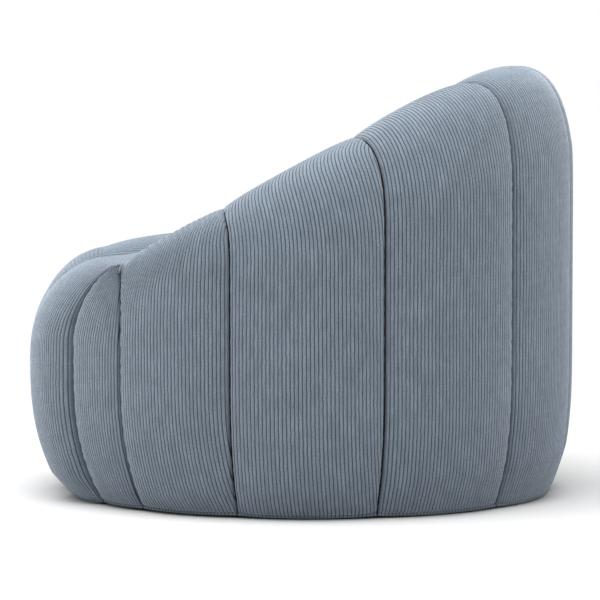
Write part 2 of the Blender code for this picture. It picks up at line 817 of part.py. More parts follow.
def add_filling(collection, material):
    """The beads, which fill the liner and clear the slider of its zip."""
    rows = bag_sheet(liner_depth() + LINER_THICKNESS + FILL_CLEARANCE,
                     above_zip(liner_bottom() + LINER_THICKNESS))
    mesh = sheet_mesh("bead_filling", rows, merge=True)
    mesh.shade_smooth()
    add_object("bead_filling", mesh, collection, material)


def main():
    clear_scene()
    parts = new_collection("bean_bag_chair")
    cutters = new_collection("cutters")
    corduroy = new_material("corduroy", (0.20, 0.27, 0.35), 0.9)
    base_fabric = new_material("base_fabric", (0.012, 0.012, 0.013), 0.8)
    zip_tape = new_material("zip_tape", (0.02, 0.02, 0.022), 0.8)
    zip_coil = new_material("zip_coil", (0.025, 0.025, 0.028), 0.45)
    zip_metal = new_material("zip_metal", (0.10, 0.10, 0.11), 0.4, 0.8)
    liner_fabric = new_material("liner_fabric", (0.78, 0.77, 0.74), 0.75)
    beads = new_material("beads", (0.90, 0.90, 0.88), 0.6)
    add_cover(parts, corduroy)
    add_base(parts, cutters, base_fabric)
    add_zip("cover_zip", COVER_ZIP_LENGTH, BASE_SHIFT, zip_height(BASE_THICKNESS),
            parts, cutters, zip_tape, zip_coil, zip_metal)
    add_liner(parts, cutters, liner_fabric)
    add_zip("liner_zip", LINER_ZIP_LENGTH, BASE_SHIFT + LINER_ZIP_OFFSET,
            zip_height(liner_bottom() + LINER_THICKNESS), parts, cutters,
            zip_tape, zip_coil, zip_metal)
    add_filling(parts, beads)


main()
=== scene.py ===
"""Corduroy bean bag chair: its visible cover, base, zips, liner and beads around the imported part.

The chair faces -Y and is symmetric about x = 0. Plan angles are in degrees from +X towards +Y.
"""

import json
import math

import bmesh
import bpy
import numpy as np
from mathutils import Matrix, Vector
from mathutils.bvhtree import BVHTree
from mathutils.kdtree import KDTree

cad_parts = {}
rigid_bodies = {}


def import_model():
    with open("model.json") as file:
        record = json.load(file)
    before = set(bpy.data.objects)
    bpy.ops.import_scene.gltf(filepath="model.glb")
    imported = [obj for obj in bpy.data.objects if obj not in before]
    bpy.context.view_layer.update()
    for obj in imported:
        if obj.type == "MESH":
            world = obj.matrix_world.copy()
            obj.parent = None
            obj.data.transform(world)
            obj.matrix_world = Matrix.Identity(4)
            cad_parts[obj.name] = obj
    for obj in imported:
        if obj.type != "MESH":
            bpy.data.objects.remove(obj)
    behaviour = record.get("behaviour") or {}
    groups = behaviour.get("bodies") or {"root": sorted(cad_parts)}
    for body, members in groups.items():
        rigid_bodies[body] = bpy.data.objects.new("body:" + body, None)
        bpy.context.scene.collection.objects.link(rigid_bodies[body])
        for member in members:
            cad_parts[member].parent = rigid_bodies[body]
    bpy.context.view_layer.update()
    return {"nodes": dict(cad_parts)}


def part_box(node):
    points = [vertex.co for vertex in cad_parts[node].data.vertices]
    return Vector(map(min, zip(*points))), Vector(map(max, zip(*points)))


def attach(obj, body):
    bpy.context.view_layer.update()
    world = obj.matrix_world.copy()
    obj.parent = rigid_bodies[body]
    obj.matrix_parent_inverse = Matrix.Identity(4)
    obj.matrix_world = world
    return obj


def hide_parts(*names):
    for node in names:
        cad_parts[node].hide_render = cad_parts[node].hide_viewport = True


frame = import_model()

# Plan and base (metres)
PLAN_RADIUS = 0.412
BASE_TUCK = 0.041
BASE_SHIFT = 0.016
TUCK_HEIGHT = 0.200
TUCK_POWER = 2.5

# Rim, from the front of the arms to the back
ARM_FRONT_HEIGHT = 0.3625
RIM_SLOPE = 0.54
BACK_HEIGHT = 0.690
RIM_ROUNDING = 0.045
RIM_PUFF = 0.35
RIM_PUFF_REACH = 0.120
RIM_LEAN = 0.026
RIM_LEAN_SPAN = 45.0
RIM_LEAN_REACH = 0.120

# The roll over the rim: how far it reaches on each side of the top, and how far it drops
ROLL_OUTER = 0.067
ROLL_INNER = 0.080
ROLL_OUTER_LIMIT = 0.42
ROLL_INNER_LIMIT = 0.45
ROLL_POWER = 2.5
OUTER_DROP = 0.030
OUTER_DROP_SHARE = 0.45
INNER_DROP_SHARE = 0.30
INNER_RISE_START = 0.012
INNER_WALL_POWER = 1.3

# Seat: plan sizes are in from the wall, heights are from the front of the arms
ARM_WIDTH = 0.147
BACK_DEPTH = 0.254
FRONT_ROLL_DEPTH = 0.112
SEAT_CREST_DEPTH = 0.282
SEAT_FRONT_DROP = 0.0055
SEAT_CREST_RISE = 0.0165
SEAT_REAR_DROP = 0.0245
SEAT_CORNER_ANGLE = 40.0
FRONT_ROLL_DROP = 0.1625
FRONT_ROLL_DROP_AT_ARM = 0.1125
FRONT_POWER = 2.2
FRONT_POWER_AT_ARM = 1.6

# Where the seams meet the crease round the seat: shares of the seat's half width and of its
# depth from the back to the arm's tip, and heights above the seat's rear
CREASE_FRONT = (1.0, 0.5464, 0.034)
CREASE_SIDE = (0.8377, 0.1989, 0.014)
CREASE_CORNER = (0.5472, 0.0479, 0.004)
CREASE_REAR = (0.1698, 0.0048, 0.0)

# Plan angles of the seams on the left half, front to back
SEAM_FRONT_CENTRE = -79.0
SEAM_ARM_FRONT = -54.0
SEAM_GUSSET = -39.0
SEAM_ARM_MIDDLE = -14.0
SEAM_ARM_REAR = 17.0
SEAM_BACK_SIDE = 48.5
SEAM_BACK_CENTRE = 80.0

# Fabrics and clearances
COVER_THICKNESS = 0.003
BASE_THICKNESS = 0.0016
BASE_LIP_HEIGHT = 0.0062
BASE_LIP_WIDTH = 0.010
BASE_LIP_FILLET = 0.003
BASE_LIP_FILLET_RISE = 0.0008
SEAM_GAP = 0.0008
FIT_GAP = 0.0003

# Puff: fades to a share at a panel's ends
END_PUFF = 0.35
END_FADE_RATE = 10.0
PUFF_POWER = 2.5
PUFF_ROUNDING = 0.6
FULL_WIDTH_SHARE = 0.8

# Zips
COVER_ZIP_LENGTH = 0.500
SLOT_HALF_WIDTH = 0.0050
STOP_LENGTH = 0.0040
SLOT_END_GAP = 0.0016
CUT_BELOW = 0.010
CUT_ABOVE = 0.020

# Paths along the surface
PATH_SAMPLES = 64
PATH_SMOOTHING = 3
WALL_STEPS = 12
ROLL_STEPS = 10
FRONT_WALL_STEPS = 10
FRONT_ROLL_STEPS = 14
SEAT_STEPS = 20

# Each panel's puff height and how far its fullest line leans to its rear seam
PUFFS = {
    "front_centre": (0.014, 0.0),
    "front_side": (0.026, 0.35),
    "arm_gusset": (0.008, 0.0),
    "arm_front": (0.013, 0.0),
    "arm_middle": (0.017, 0.0),
    "arm_rear": (0.017, 0.0),
    "back_side": (0.017, 0.0),
    "back_centre": (0.0137, 0.0),
}

# How far the front panels stand proud of their guide, on the wall and on the seat
FRONT_PUFFS = {"front_centre": (0.010, 0.025), "front_side": (0.023, 0.013)}
FRONT_PUFF_TURN = {"front_centre": (0.41, 0.20), "front_side": (0.33, 0.22)}

# Corduroy: wide wales with narrow grooves
WALE_PITCH = 0.00542
WALE_HEIGHT = 0.0013
WALE_ROUNDNESS = 3.4
WALE_WANDER = 0.0006
WALE_RIPPLE = 0.0003
WALE_COLUMNS = 7
# How far the wales lean to the rear at the rim, and over what length they turn
WALE_LEAN = {"arm_front": (0.046, 0.090), "arm_middle": (0.020, 0.070)}
ROW_STEP = 0.0068

# Guide grids, which the cloth simulation runs on
GUIDE_COLUMNS = 24
GUIDE_ROWS = 64
GUIDE_RISE = 36
CLOTH_FRAMES = 20
CLOTH_PRESSURE = 4.0
CLOTH_SLACK = -0.035
CLOTH_PUSH_OUT = 0.0045
CLOTH_PUSH_IN = 0.0035
CLOTH_SLIDE = 0.0010

# Base, stitches and zips
BASE_STEPS = 256
BASE_LIP_STEPS = 8
STITCH_PITCH = 0.0034
STITCH_LENGTH = 0.0027
STITCH_WIDTH = 0.0005
STITCH_LINE = 0.72
TAPE_STEPS = 240
TOOTH_PITCH = 0.0014

# Seams: how deep each panel's edges turn in, and over what width
SEAM_DEPTH = 0.0036
SEAM_WIDTH = 0.0026
PUCKER_DEPTH = 0.0011
PUCKER_REACH = 0.012
PUCKER_SPACING = 0.024
CREASE_FOLD = 0.012
CREASE_FOLD_WIDTH = 0.010
SEAT_FOLD_START = 0.06
HEM_DEPTH = 0.0025
HEM_WIDTH = 0.0045
CREASE_INSET = 0.0012
CREASE_TAIL = (0.0, 0.002, 0.005, 0.009, 0.012)
CREASE_TAIL_LEAN = 0.6
SEAT_MIDDLE_Y = -0.08
CREASE_ROOM = 0.020
BEAD_CREASE_ROOM = 0.029
CREASE_ROOM_REACH = 0.034
FOOT_TAIL = (0.0042, 0.0032, 0.0018)
FOOT_CLEARANCE = 0.0006
TIP_INSET = 0.004
TIP_CALM = 0.85
TIP_CALM_REACH = 0.115
SEAM_TAPE_HALF_WIDTH = 0.005
SEAM_TAPE_DEPTH = 0.0074
SEAM_TAPE_THICKNESS = 0.0006
CREASE_TAPE_DROP = 0.0165
CREASE_TAPE_HALF_WIDTH = 0.005


# --- Small helpers ---------------------------------------------------------

def lerp(a, b, share):
    return a + (b - a) * share


def polar(radius, angle, z=0.0):
    turn = math.radians(angle)
    return Vector((radius * math.cos(turn), radius * math.sin(turn), z))


def mirrored(point):
    return Vector((-point.x, point.y, point.z))


def resample(points, count):
    """The same line with count + 1 points, evenly spaced along it."""
    lengths = [0.0]
    for before, after in zip(points, points[1:]):
        lengths.append(lengths[-1] + (after - before).length)
    result = []
    segment = 0
    for step in range(count + 1):
        target = lengths[-1] * step / count
        while segment < len(points) - 2 and lengths[segment + 1] < target:
            segment += 1
        span = lengths[segment + 1] - lengths[segment]
        share = (target - lengths[segment]) / span if span > 1e-9 else 0.0
        result.append(points[segment].lerp(points[segment + 1], min(share, 1.0)))
    return result


def smoothed(points, passes):
    """The line with its kinks eased and its two ends kept."""
    for _ in range(passes):
        inner = [(a + b * 2 + c) / 4 for a, b, c in zip(points, points[1:], points[2:])]
        points = [points[0]] + inner + [points[-1]]
    return points


def catmull_rom(knots, position):
    """A smooth curve through (position, point) knots, read at one position."""
    index = 1
    while index < len(knots) - 3 and knots[index + 1][0] < position:
        index += 1
    (before, a), (start, b), (end, c), (after, d) = knots[index - 1:index + 3]
    share = (position - start) / (end - start)
    slope_b = (c - a) * ((end - start) / (end - before))
    slope_c = (d - b) * ((end - start) / (after - start))
    square, cube = share ** 2, share ** 3
    return (b * (2 * cube - 3 * square + 1) + slope_b * (cube - 2 * square + share)
            + c * (3 * square - 2 * cube) + slope_c * (cube - square))

# --- The chair's surface, before its panels are puffed --------------------------

def base_size():
    return PLAN_RADIUS - BASE_TUCK


def base_radius(angle):
    """Distance from the origin to the shifted base circle at one plan angle."""
    turn = math.radians(angle)
    across = BASE_SHIFT * math.cos(turn)
    return BASE_SHIFT * math.sin(turn) + math.sqrt(base_size() ** 2 - across ** 2)


def base_edge_height():
    """Height of the cover panels' bottom edges, just above the base fabric's lip."""
    return BASE_LIP_HEIGHT + 2 * FIT_GAP


def wall_point(angle, z):
    """The upright wall, which tucks in towards the base."""
    tuck = max(0.0, 1 - z / TUCK_HEIGHT) ** TUCK_POWER
    return polar(lerp(PLAN_RADIUS, base_radius(angle), tuck), angle, z)


def wall_points(angle, top, steps):
    """Evenly spaced heights up the wall, from the panels' bottom edges."""
    return [wall_point(angle, lerp(base_edge_height(), top, step / steps))
            for step in range(steps + 1)]


def arm_tip():
    """Where the arm's rim starts, at the top of the gusset."""
    return polar(PLAN_RADIUS, SEAM_GUSSET, ARM_FRONT_HEIGHT)


def rim_height(y):
    """The rim rises steadily along the arms and levels out at the back."""
    straight = ARM_FRONT_HEIGHT + RIM_SLOPE * (y - arm_tip().y)
    excess = (BACK_HEIGHT - straight) / RIM_ROUNDING
    return BACK_HEIGHT - RIM_ROUNDING * math.log1p(math.exp(excess))


def seat_half_width():
    return PLAN_RADIUS - ARM_WIDTH


def seat_back_y():
    return PLAN_RADIUS - BACK_DEPTH


def seat_front_y():
    return FRONT_ROLL_DEPTH - PLAN_RADIUS


def seat_crest_y():
    return SEAT_CREST_DEPTH - PLAN_RADIUS


def seat_rear_height():
    return ARM_FRONT_HEIGHT - SEAT_REAR_DROP


def crease_point(angle):
    """The U-shaped crease where the arms and back come down to the seat."""
    tip = arm_tip()
    back = seat_back_y()
    low = seat_rear_height()
    front, side, corner, rear = [
        Vector((seat_half_width() * across, lerp(back, tip.y, forward), low + rise))
        for across, forward, rise in (CREASE_FRONT, CREASE_SIDE, CREASE_CORNER, CREASE_REAR)]
    middle = Vector((0.0, back, low))
    knots = [
        (2 * SEAM_GUSSET - SEAM_ARM_MIDDLE, tip * 2 - front),
        (SEAM_GUSSET, tip),
        (SEAM_ARM_MIDDLE, front),
        (SEAM_ARM_REAR, side),
        (SEAM_BACK_SIDE, corner),
        (SEAM_BACK_CENTRE, rear),
        (90.0, middle),
        (180 - SEAM_BACK_CENTRE, mirrored(rear)),
    ]
    return catmull_rom(knots, angle)


def rounding(power, steps):
    """Shares (along, up) of a superellipse quarter, from upright to level."""
    turns = [math.pi / 2 * step / steps for step in range(1, steps + 1)]
    return [(1 - max(0.0, math.cos(turn)) ** (2 / power), math.sin(turn) ** (2 / power))
            for turn in turns]


def arm_path(angle):
    """Up the wall, over the rim and down to the crease, at one plan angle from -39 to 90."""
    start = polar(PLAN_RADIUS, angle)
    end = crease_point(angle)
    flat_end = Vector((end.x, end.y, 0.0))
    reach = (flat_end - start).length
    outer = min(ROLL_OUTER, ROLL_OUTER_LIMIT * reach)
    inner = min(ROLL_INNER, ROLL_INNER_LIMIT * reach)
    lean = RIM_LEAN * max(0.0, 1 - (angle / RIM_LEAN_SPAN) ** 2) * min(1.0, reach / RIM_LEAN_REACH)

    def place(distance, z):
        share = distance / reach if reach > 1e-6 else 1.0
        point = start.lerp(flat_end, share)
        return Vector((point.x, point.y - lean * 4 * share * (1 - share), z))

    top = rim_height(place(outer, 0.0).y)
    rise = max(0.0, top - seat_rear_height() - INNER_RISE_START)
    outer_drop = OUTER_DROP + OUTER_DROP_SHARE * rise
    inner_drop = INNER_DROP_SHARE * rise
    low = top - outer_drop
    points = wall_points(angle, low, WALL_STEPS)
    for along, up in rounding(ROLL_POWER, ROLL_STEPS):
        points.append(place(outer * along, low + outer_drop * up))
    for down, along in rounding(ROLL_POWER, ROLL_STEPS):
        points.append(place(outer + inner * along, top - inner_drop * down))
    shoulder = points[-1].z
    for step in range(1, ROLL_STEPS + 1):
        share = step / ROLL_STEPS
        along = lerp(outer + inner, reach, share ** INNER_WALL_POWER)
        points.append(place(along, lerp(shoulder, end.z, share)))
    return smoothed(resample(points, PATH_SAMPLES), PATH_SMOOTHING)


def seat_height(y):
    """The seat's centre line: highest behind its front edge, lower at the back."""
    crest = ARM_FRONT_HEIGHT + SEAT_CREST_RISE
    if y < seat_crest_y():
        share = (seat_crest_y() - y) / (seat_crest_y() - seat_front_y())
        return crest - (SEAT_CREST_RISE + SEAT_FRONT_DROP) * share ** 2
    share = (y - seat_crest_y()) / (seat_back_y() - seat_crest_y())
    return crest - (SEAT_CREST_RISE + SEAT_REAR_DROP) * share ** 2


def front_top(across):
    """Top of the rounded front edge, from the centre (0) to the arm's tip (1)."""
    tip = arm_tip()
    return Vector((tip.x * across,
                   lerp(seat_front_y(), tip.y, across ** 2),
                   lerp(tip.z - SEAT_FRONT_DROP, tip.z, across ** 2)))


def front_rise(across):
    """Up the front wall and over its rounded edge, from the centre (0) to the arm (1)."""
    angle = lerp(-90.0, SEAM_ARM_FRONT, across)
    low = ARM_FRONT_HEIGHT - lerp(FRONT_ROLL_DROP, FRONT_ROLL_DROP_AT_ARM, across)
    start, end = wall_point(angle, low), front_top(across)
    points = wall_points(angle, low, FRONT_WALL_STEPS)
    for along, up in rounding(lerp(FRONT_POWER, FRONT_POWER_AT_ARM, across), FRONT_ROLL_STEPS):
        place = start.lerp(end, along)
        points.append(Vector((place.x, place.y, lerp(start.z, end.z, up))))
    return points


def seat_point(across, along):
    """The seat, from its front edge (along 0) to the rear of the crease (along 1)."""
    y = lerp(seat_front_y(), seat_back_y(), along)
    centre = Vector((0.0, y, seat_height(y)))
    edge = crease_point(lerp(SEAM_GUSSET, SEAT_CORNER_ANGLE, along))
    front_error = front_top(across) - front_top(0.0).lerp(front_top(1.0), across)
    rear = crease_point(lerp(90.0, SEAT_CORNER_ANGLE, across))
    rear_chord = crease_point(90.0).lerp(crease_point(SEAT_CORNER_ANGLE), across)
    return (centre.lerp(edge, across) + front_error * (1 - along)
            + (rear - rear_chord) * along)

def front_path(across, rise_rows, seat_rows):
    """The front wall, its rounded edge and the seat, from the centre (0) to the arm (1)."""
    if across < 0:
        return [mirrored(point) for point in front_path(-across, rise_rows, seat_rows)]
    seat = [seat_point(across, step / SEAT_STEPS) for step in range(SEAT_STEPS + 1)]
    return resample(front_rise(across), rise_rows) + resample(seat, seat_rows)[1:]


def gusset_path(share, rows):
    """The arm's front wedge, between the front block's seam (0) and the gusset seam (1)."""
    front = resample(front_rise(1.0), rows)
    rear = resample(arm_path(SEAM_GUSSET), rows)
    points = []
    for a, b in zip(front, rear):
        radius = lerp(math.hypot(a.x, a.y), math.hypot(b.x, b.y), share)
        turn_a = math.degrees(math.atan2(a.y, a.x))
        turn_b = math.degrees(math.atan2(b.y, b.x))
        points.append(polar(radius, lerp(turn_a, turn_b, share), lerp(a.z, b.z, share)))
    return points


def arm_span(start, end):
    """Paths between two seam angles of the arms and back."""
    def path_at(share):
        angle = lerp(start, end, share)
        if angle > 90.0:
            return [mirrored(point) for point in resample(arm_path(180.0 - angle), GUIDE_ROWS)]
        return resample(arm_path(angle), GUIDE_ROWS)
    return path_at


def front_span(start, end):
    """Paths between two shares of the front block."""
    def path_at(share):
        return front_path(lerp(start, end, share), GUIDE_RISE, GUIDE_ROWS - GUIDE_RISE)
    return path_at


# --- Grids of points, as arrays of rows by columns by xyz ---------------------------

def cubic_weights(positions, count):
    """Weights that read a smooth curve through count + 1 evenly spaced values."""
    weights = np.zeros((len(positions), count + 1))
    for row, position in enumerate(positions):
        index = min(int(position * count), count - 1)
        t = position * count - index
        blend = (-0.5 * t + t ** 2 - 0.5 * t ** 3, 1 - 2.5 * t ** 2 + 1.5 * t ** 3,
                 0.5 * t + 2 * t ** 2 - 1.5 * t ** 3, -0.5 * t ** 2 + 0.5 * t ** 3)
        for offset, weight in zip((-1, 0, 1, 2), blend):
            at = index + offset
            if at < 0:
                weights[row, 0] += 2 * weight
                weights[row, 1] -= weight
            elif at > count:
                weights[row, count] += 2 * weight
                weights[row, count - 1] -= weight
            else:
                weights[row, at] += weight
    return weights


def read_grid(grid, along, across):
    """A grid read smoothly at given shares along its rows and across its columns."""
    rows = cubic_weights(along, grid.shape[0] - 1)
    columns = cubic_weights(across, grid.shape[1] - 1)
    return np.einsum("ra,ab...,cb->rc...", rows, grid, columns, optimize=True)


def grid_normals(grid):
    """Outward directions of a grid."""
    along = np.gradient(grid, axis=0)
    across = np.gradient(grid, axis=1)
    normal = np.cross(across, along)
    return normal / np.maximum(np.linalg.norm(normal, axis=2, keepdims=True), 1e-12)


def lengths_along(grid, axis):
    """Distance of each point from the grid's first row or column, along the surface."""
    steps = np.linalg.norm(np.diff(grid, axis=axis), axis=2)
    start = np.zeros_like(steps[:1] if axis == 0 else steps[:, :1])
    return np.concatenate([start, np.cumsum(steps, axis=axis)], axis=axis)


def ease(values):
    values = np.clip(values, 0.0, 1.0)
    return values * values * (3 - 2 * values)


class Panel:
    """One cover panel: its guide surface and how it is puffed."""

    def __init__(self, name, kind, path_at, flipped=False, wale_from=0):
        self.name = name
        self.kind = kind
        self.flipped = flipped
        self.wale_from = wale_from
        columns = [path_at(c / GUIDE_COLUMNS) for c in range(GUIDE_COLUMNS + 1)]
        self.guide = np.array([[tuple(p) for p in column] for column in columns]).swapaxes(0, 1)
        self.drop = self.guide[:, :, 2].max(axis=0)[None, :] - self.guide[:, :, 2]
        widths = lengths_along(self.guide, 1)[:, -1]
        self.widest = widths.max()
        self.fullness = np.minimum(1.0, widths / (FULL_WIDTH_SHARE * self.widest))
        self.bulge = None

    def puff(self, along, across):
        """Height of the puff over the guide surface at each row and column."""
        height, lean = PUFFS[self.kind]
        if self.kind in FRONT_PUFFS:
            start, reach = FRONT_PUFF_TURN[self.kind]
            height = lerp(*FRONT_PUFFS[self.kind], ease((along - start) / reach))
        side = np.abs(2 * across - 1)
        share = (1 - side ** PUFF_POWER) ** PUFF_ROUNDING * (1 + lean * (2 * across - 1))
        ends = np.minimum(along, 1 - along)
        fade = np.minimum(1.0, END_PUFF + END_FADE_RATE * ends)
        fullness = read_grid(np.repeat(self.fullness[:, None], 2, axis=1), along, [0.0])[:, 0]
        result = (height * fade * np.clip(fullness, 0, 1))[:, None] * share[None, :]
        if self.kind not in ("front_centre", "front_side", "arm_gusset"):
            drop = read_grid(self.drop, along, across)
            result = result * lerp(RIM_PUFF, 1.0, np.clip(drop / RIM_PUFF_REACH, 0, 1))
        if self.kind == "front_side":
            guide = read_grid(self.guide, along, across)
            away = np.linalg.norm(guide - np.array(arm_tip()), axis=2)
            result = result * (1 - TIP_CALM * np.exp(-(away / TIP_CALM_REACH) ** 2))
        return result

    def surface(self, along, across):
        """The puffed surface, with its bulges from the cloth simulation."""
        smooth = read_grid(self.guide, along, across)
        points = smooth + grid_normals(smooth) * self.puff(along, across)[..., None]
        if self.bulge is not None:
            points = points + read_grid(self.bulge, along, across)
        return smooth, points


def all_panels():
    centre = (SEAM_FRONT_CENTRE + 90.0) / (SEAM_ARM_FRONT + 90.0)
    panels = [
        Panel("front_centre_panel", "front_centre", front_span(-centre, centre)),
        Panel("back_centre_panel", "back_centre",
              arm_span(SEAM_BACK_CENTRE, 180 - SEAM_BACK_CENTRE)),
    ]
    pairs = {
        "front_side": front_span(centre, 1.0),
        "arm_gusset": lambda share: gusset_path(share, GUIDE_ROWS),
        "arm_front": arm_span(SEAM_GUSSET, SEAM_ARM_MIDDLE),
        "arm_middle": arm_span(SEAM_ARM_MIDDLE, SEAM_ARM_REAR),
        "arm_rear": arm_span(SEAM_ARM_REAR, SEAM_BACK_SIDE),
        "back_side": arm_span(SEAM_BACK_SIDE, SEAM_BACK_CENTRE),
    }
    for kind, path_at in pairs.items():
        panels.append(Panel(kind + "_panel_left", kind, path_at))
        panels.append(Panel(kind + "_panel_right", kind, path_at, flipped=True))
    return panels


# --- Meshes ----------------------------------------------------------------------

def grid_faces(rows, columns, start=0):
    """Quads of a grid of points stored row by row, facing outwards."""
    first = start + np.arange(rows - 1)[:, None] * columns + np.arange(columns - 1)[None, :]
    quads = np.stack([first, first + 1, first + columns + 1, first + columns], axis=-1)
    return quads.reshape(-1, 4)


def new_object(name, vertices, faces, smooth=True):
    mesh = bpy.data.meshes.new(name)
    mesh.from_pydata(vertices.tolist(), [], [list(face) for face in faces])
    mesh.validate()
    mesh.update()
    if smooth:
        mesh.shade_smooth()
    item = bpy.data.objects.new(name, mesh)
    bpy.context.scene.collection.objects.link(item)
    return item


# --- Cloth simulation of the cover's panels ------------------------------------------

def simulate(panels):
    """Inflates every panel a little as cloth sewn along its edges, and keeps the bulges."""
    along = np.linspace(0, 1, GUIDE_ROWS + 1)
    across = np.linspace(0, 1, GUIDE_COLUMNS + 1)
    count = (GUIDE_ROWS + 1) * (GUIDE_COLUMNS + 1)
    rest = []
    faces = []
    for index, panel in enumerate(panels):
        points = panel.surface(along, across)[1]
        if panel.flipped:
            points = points * np.array([-1, 1, 1])
        rest.append(points)
        quads = grid_faces(GUIDE_ROWS + 1, GUIDE_COLUMNS + 1, index * count)
        faces.append(quads[:, ::-1] if panel.flipped else quads)
    rest = np.array(rest)
    item = new_object("cover_cloth", rest.reshape(-1, 3), np.concatenate(faces))
    pins = item.vertex_groups.new(name="seams")
    inside = np.zeros((GUIDE_ROWS + 1, GUIDE_COLUMNS + 1), bool)
    inside[1:-1, 1:-1] = True
    pinned = np.flatnonzero(~np.tile(inside.ravel(), len(panels)))
    pins.add(pinned.tolist(), 1.0, "REPLACE")
    cloth = item.modifiers.new("cloth", "CLOTH")
    settings = cloth.settings
    settings.quality = 6
    settings.mass = 0.4
    settings.tension_stiffness = 20
    settings.compression_stiffness = 20
    settings.shear_stiffness = 8
    settings.bending_stiffness = 1.2
    settings.tension_damping = 8
    settings.compression_damping = 8
    settings.shear_damping = 8
    settings.bending_damping = 1.0
    settings.air_damping = 4
    settings.use_pressure = True
    settings.uniform_pressure_force = CLOTH_PRESSURE
    settings.shrink_min = CLOTH_SLACK
    settings.vertex_group_mass = "seams"
    settings.effector_weights.gravity = 0
    cloth.collision_settings.use_collision = False
    cloth.collision_settings.use_self_collision = False
    scene = bpy.context.scene
    scene.frame_start = 1
    scene.frame_end = CLOTH_FRAMES
    for step in range(1, CLOTH_FRAMES + 1):
        scene.frame_set(step)
    result = item.evaluated_get(bpy.context.evaluated_depsgraph_get())
    moved = np.zeros(rest.size)
    result.data.vertices.foreach_get("co", moved)
    moved = moved.reshape(rest.shape)
    scene.frame_set(1)
    mesh = item.data
    bpy.data.objects.remove(item)
    bpy.data.meshes.remove(mesh)
    for panel, before, after in zip(panels, rest, moved):
        if panel.flipped:
            before = before * np.array([-1, 1, 1])
            after = after * np.array([-1, 1, 1])
        normals = grid_normals(before)
        shift = after - before
        out = np.sum(shift * normals, axis=2, keepdims=True)
        slide = shift - out * normals
        far = np.maximum(np.linalg.norm(slide, axis=2, keepdims=True), 1e-9)
        slide *= np.minimum(1.0, CLOTH_SLIDE / far)
        out = np.clip(out, -CLOTH_PUSH_IN, CLOTH_PUSH_OUT)
        panel.bulge = out * normals + slide


# --- Corduroy panels -------------------------------------------------------------------

def edge_columns(width, count):
    """Shares across a panel: even in the middle, with extra columns in the seams' turns."""
    turns = np.array([0.0, 0.0005, 0.0011, 0.0019]) / width
    middle = np.linspace(0.0028 / width, 1 - 0.0028 / width, count)
    inset = SEAM_GAP / 2 / width
    shares = np.concatenate([turns, middle, 1 - turns[::-1]])
    return inset + shares * (1 - 2 * inset)


def wale_distance(panel, smooth_points):
    """Distance of guide points from the seam that the panel's wales run along."""
    edge = smooth_points[:, 0]
    tree_points = []
    for a, b in zip(edge, edge[1:]):
        for step in range(8):
            tree_points.append(a + (b - a) * step / 8)
    tree_points.append(edge[-1])
    tree = KDTree(len(tree_points))
    for index, point in enumerate(tree_points):
        tree.insert(point, index)
    tree.balance()
    flat = smooth_points.reshape(-1, 3)
    distance = np.array([tree.find(point)[2] for point in flat])
    return distance.reshape(smooth_points.shape[:2])


def lean(panel, along, across):
    """How far the wales of a panel have turned to the rear, over the sloping rim."""
    most, span = WALE_LEAN[panel.kind]
    lengths = lengths_along(panel.guide, 0)
    heights = panel.guide[:, :, 2]
    nearness = np.exp((heights - heights.max(axis=0)) / 0.004)
    crest = np.sum(lengths * nearness, axis=0) / np.sum(nearness, axis=0)
    shares = np.linspace(0, 1, len(crest))
    crest = np.polyval(np.polyfit(shares, crest, 2), shares)
    below = read_grid(crest[None, :] - lengths, along, across)
    rising = most * (1 - np.clip(below / span, 0, 1)) ** 2
    beyond = 2 * most / 3 * (1 - np.exp(-3 * np.maximum(-below, 0) / span))
    return rising + beyond


def wander(panel_number, c, s):
    """Slow drift and short ripples of the wales, as in sewn and filled cloth."""
    turn = 1.7 * panel_number
    slow = np.sin(9.0 * s + 14.0 * c + turn) + 0.5 * np.sin(23.0 * s - 9.0 * c + 2 * turn)
    ripple = np.sin(310.0 * s + 90.0 * c + turn) * np.sin(47.0 * s - 130.0 * c + turn)
    return WALE_WANDER * slow + WALE_RIPPLE * ripple


def puckers(panel_number, width, s, edge):
    """Small uneven dents beside the seams, where the thread gathers the cloth."""
    turn = 2.3 * panel_number + 1.9 * (width > width[:, -1:] / 2)
    spacing = 2 * math.pi / PUCKER_SPACING
    waves = (np.sin(spacing * s + turn + 1.3 * np.sin(0.31 * spacing * s + turn))
             + 0.6 * np.sin(1.83 * spacing * s + 2.2 * turn))
    return PUCKER_DEPTH * 0.5 * (1.6 + waves) * np.exp(-edge / PUCKER_REACH) * ease(edge / 0.003)


def away_from_seat(points):
    """Level directions from the middle of the seat."""
    level = points - np.array([0.0, SEAT_MIDDLE_Y, 0.0])
    level[..., 2] = 0.0
    return unit(level)


def tail_rows(row):
    """Rows that carry an arm's inner edge down into the crease, leaning away from the seat."""
    out = away_from_seat(row) * CREASE_TAIL_LEAN - np.array([0.0, 0.0, 1.0])
    return np.concatenate([row + out * drop for drop in CREASE_TAIL[1:]])


def foot_rows(row, stand_off):
    """Rows that carry a panel's edge down outside the lip of the base fabric."""
    level = row - np.array([0.0, BASE_SHIFT, 0.0])
    level[..., 2] = 0.0
    radius = np.linalg.norm(level, axis=-1, keepdims=True)
    reach = np.maximum(base_size() + stand_off - radius, 0.0)
    rows = []
    for drop in FOOT_TAIL:
        share = min(1.0, drop / FOOT_TAIL[-1])
        rows.append(row + level / radius * reach * share - np.array([0.0, 0.0, drop]))
    return np.concatenate(rows)


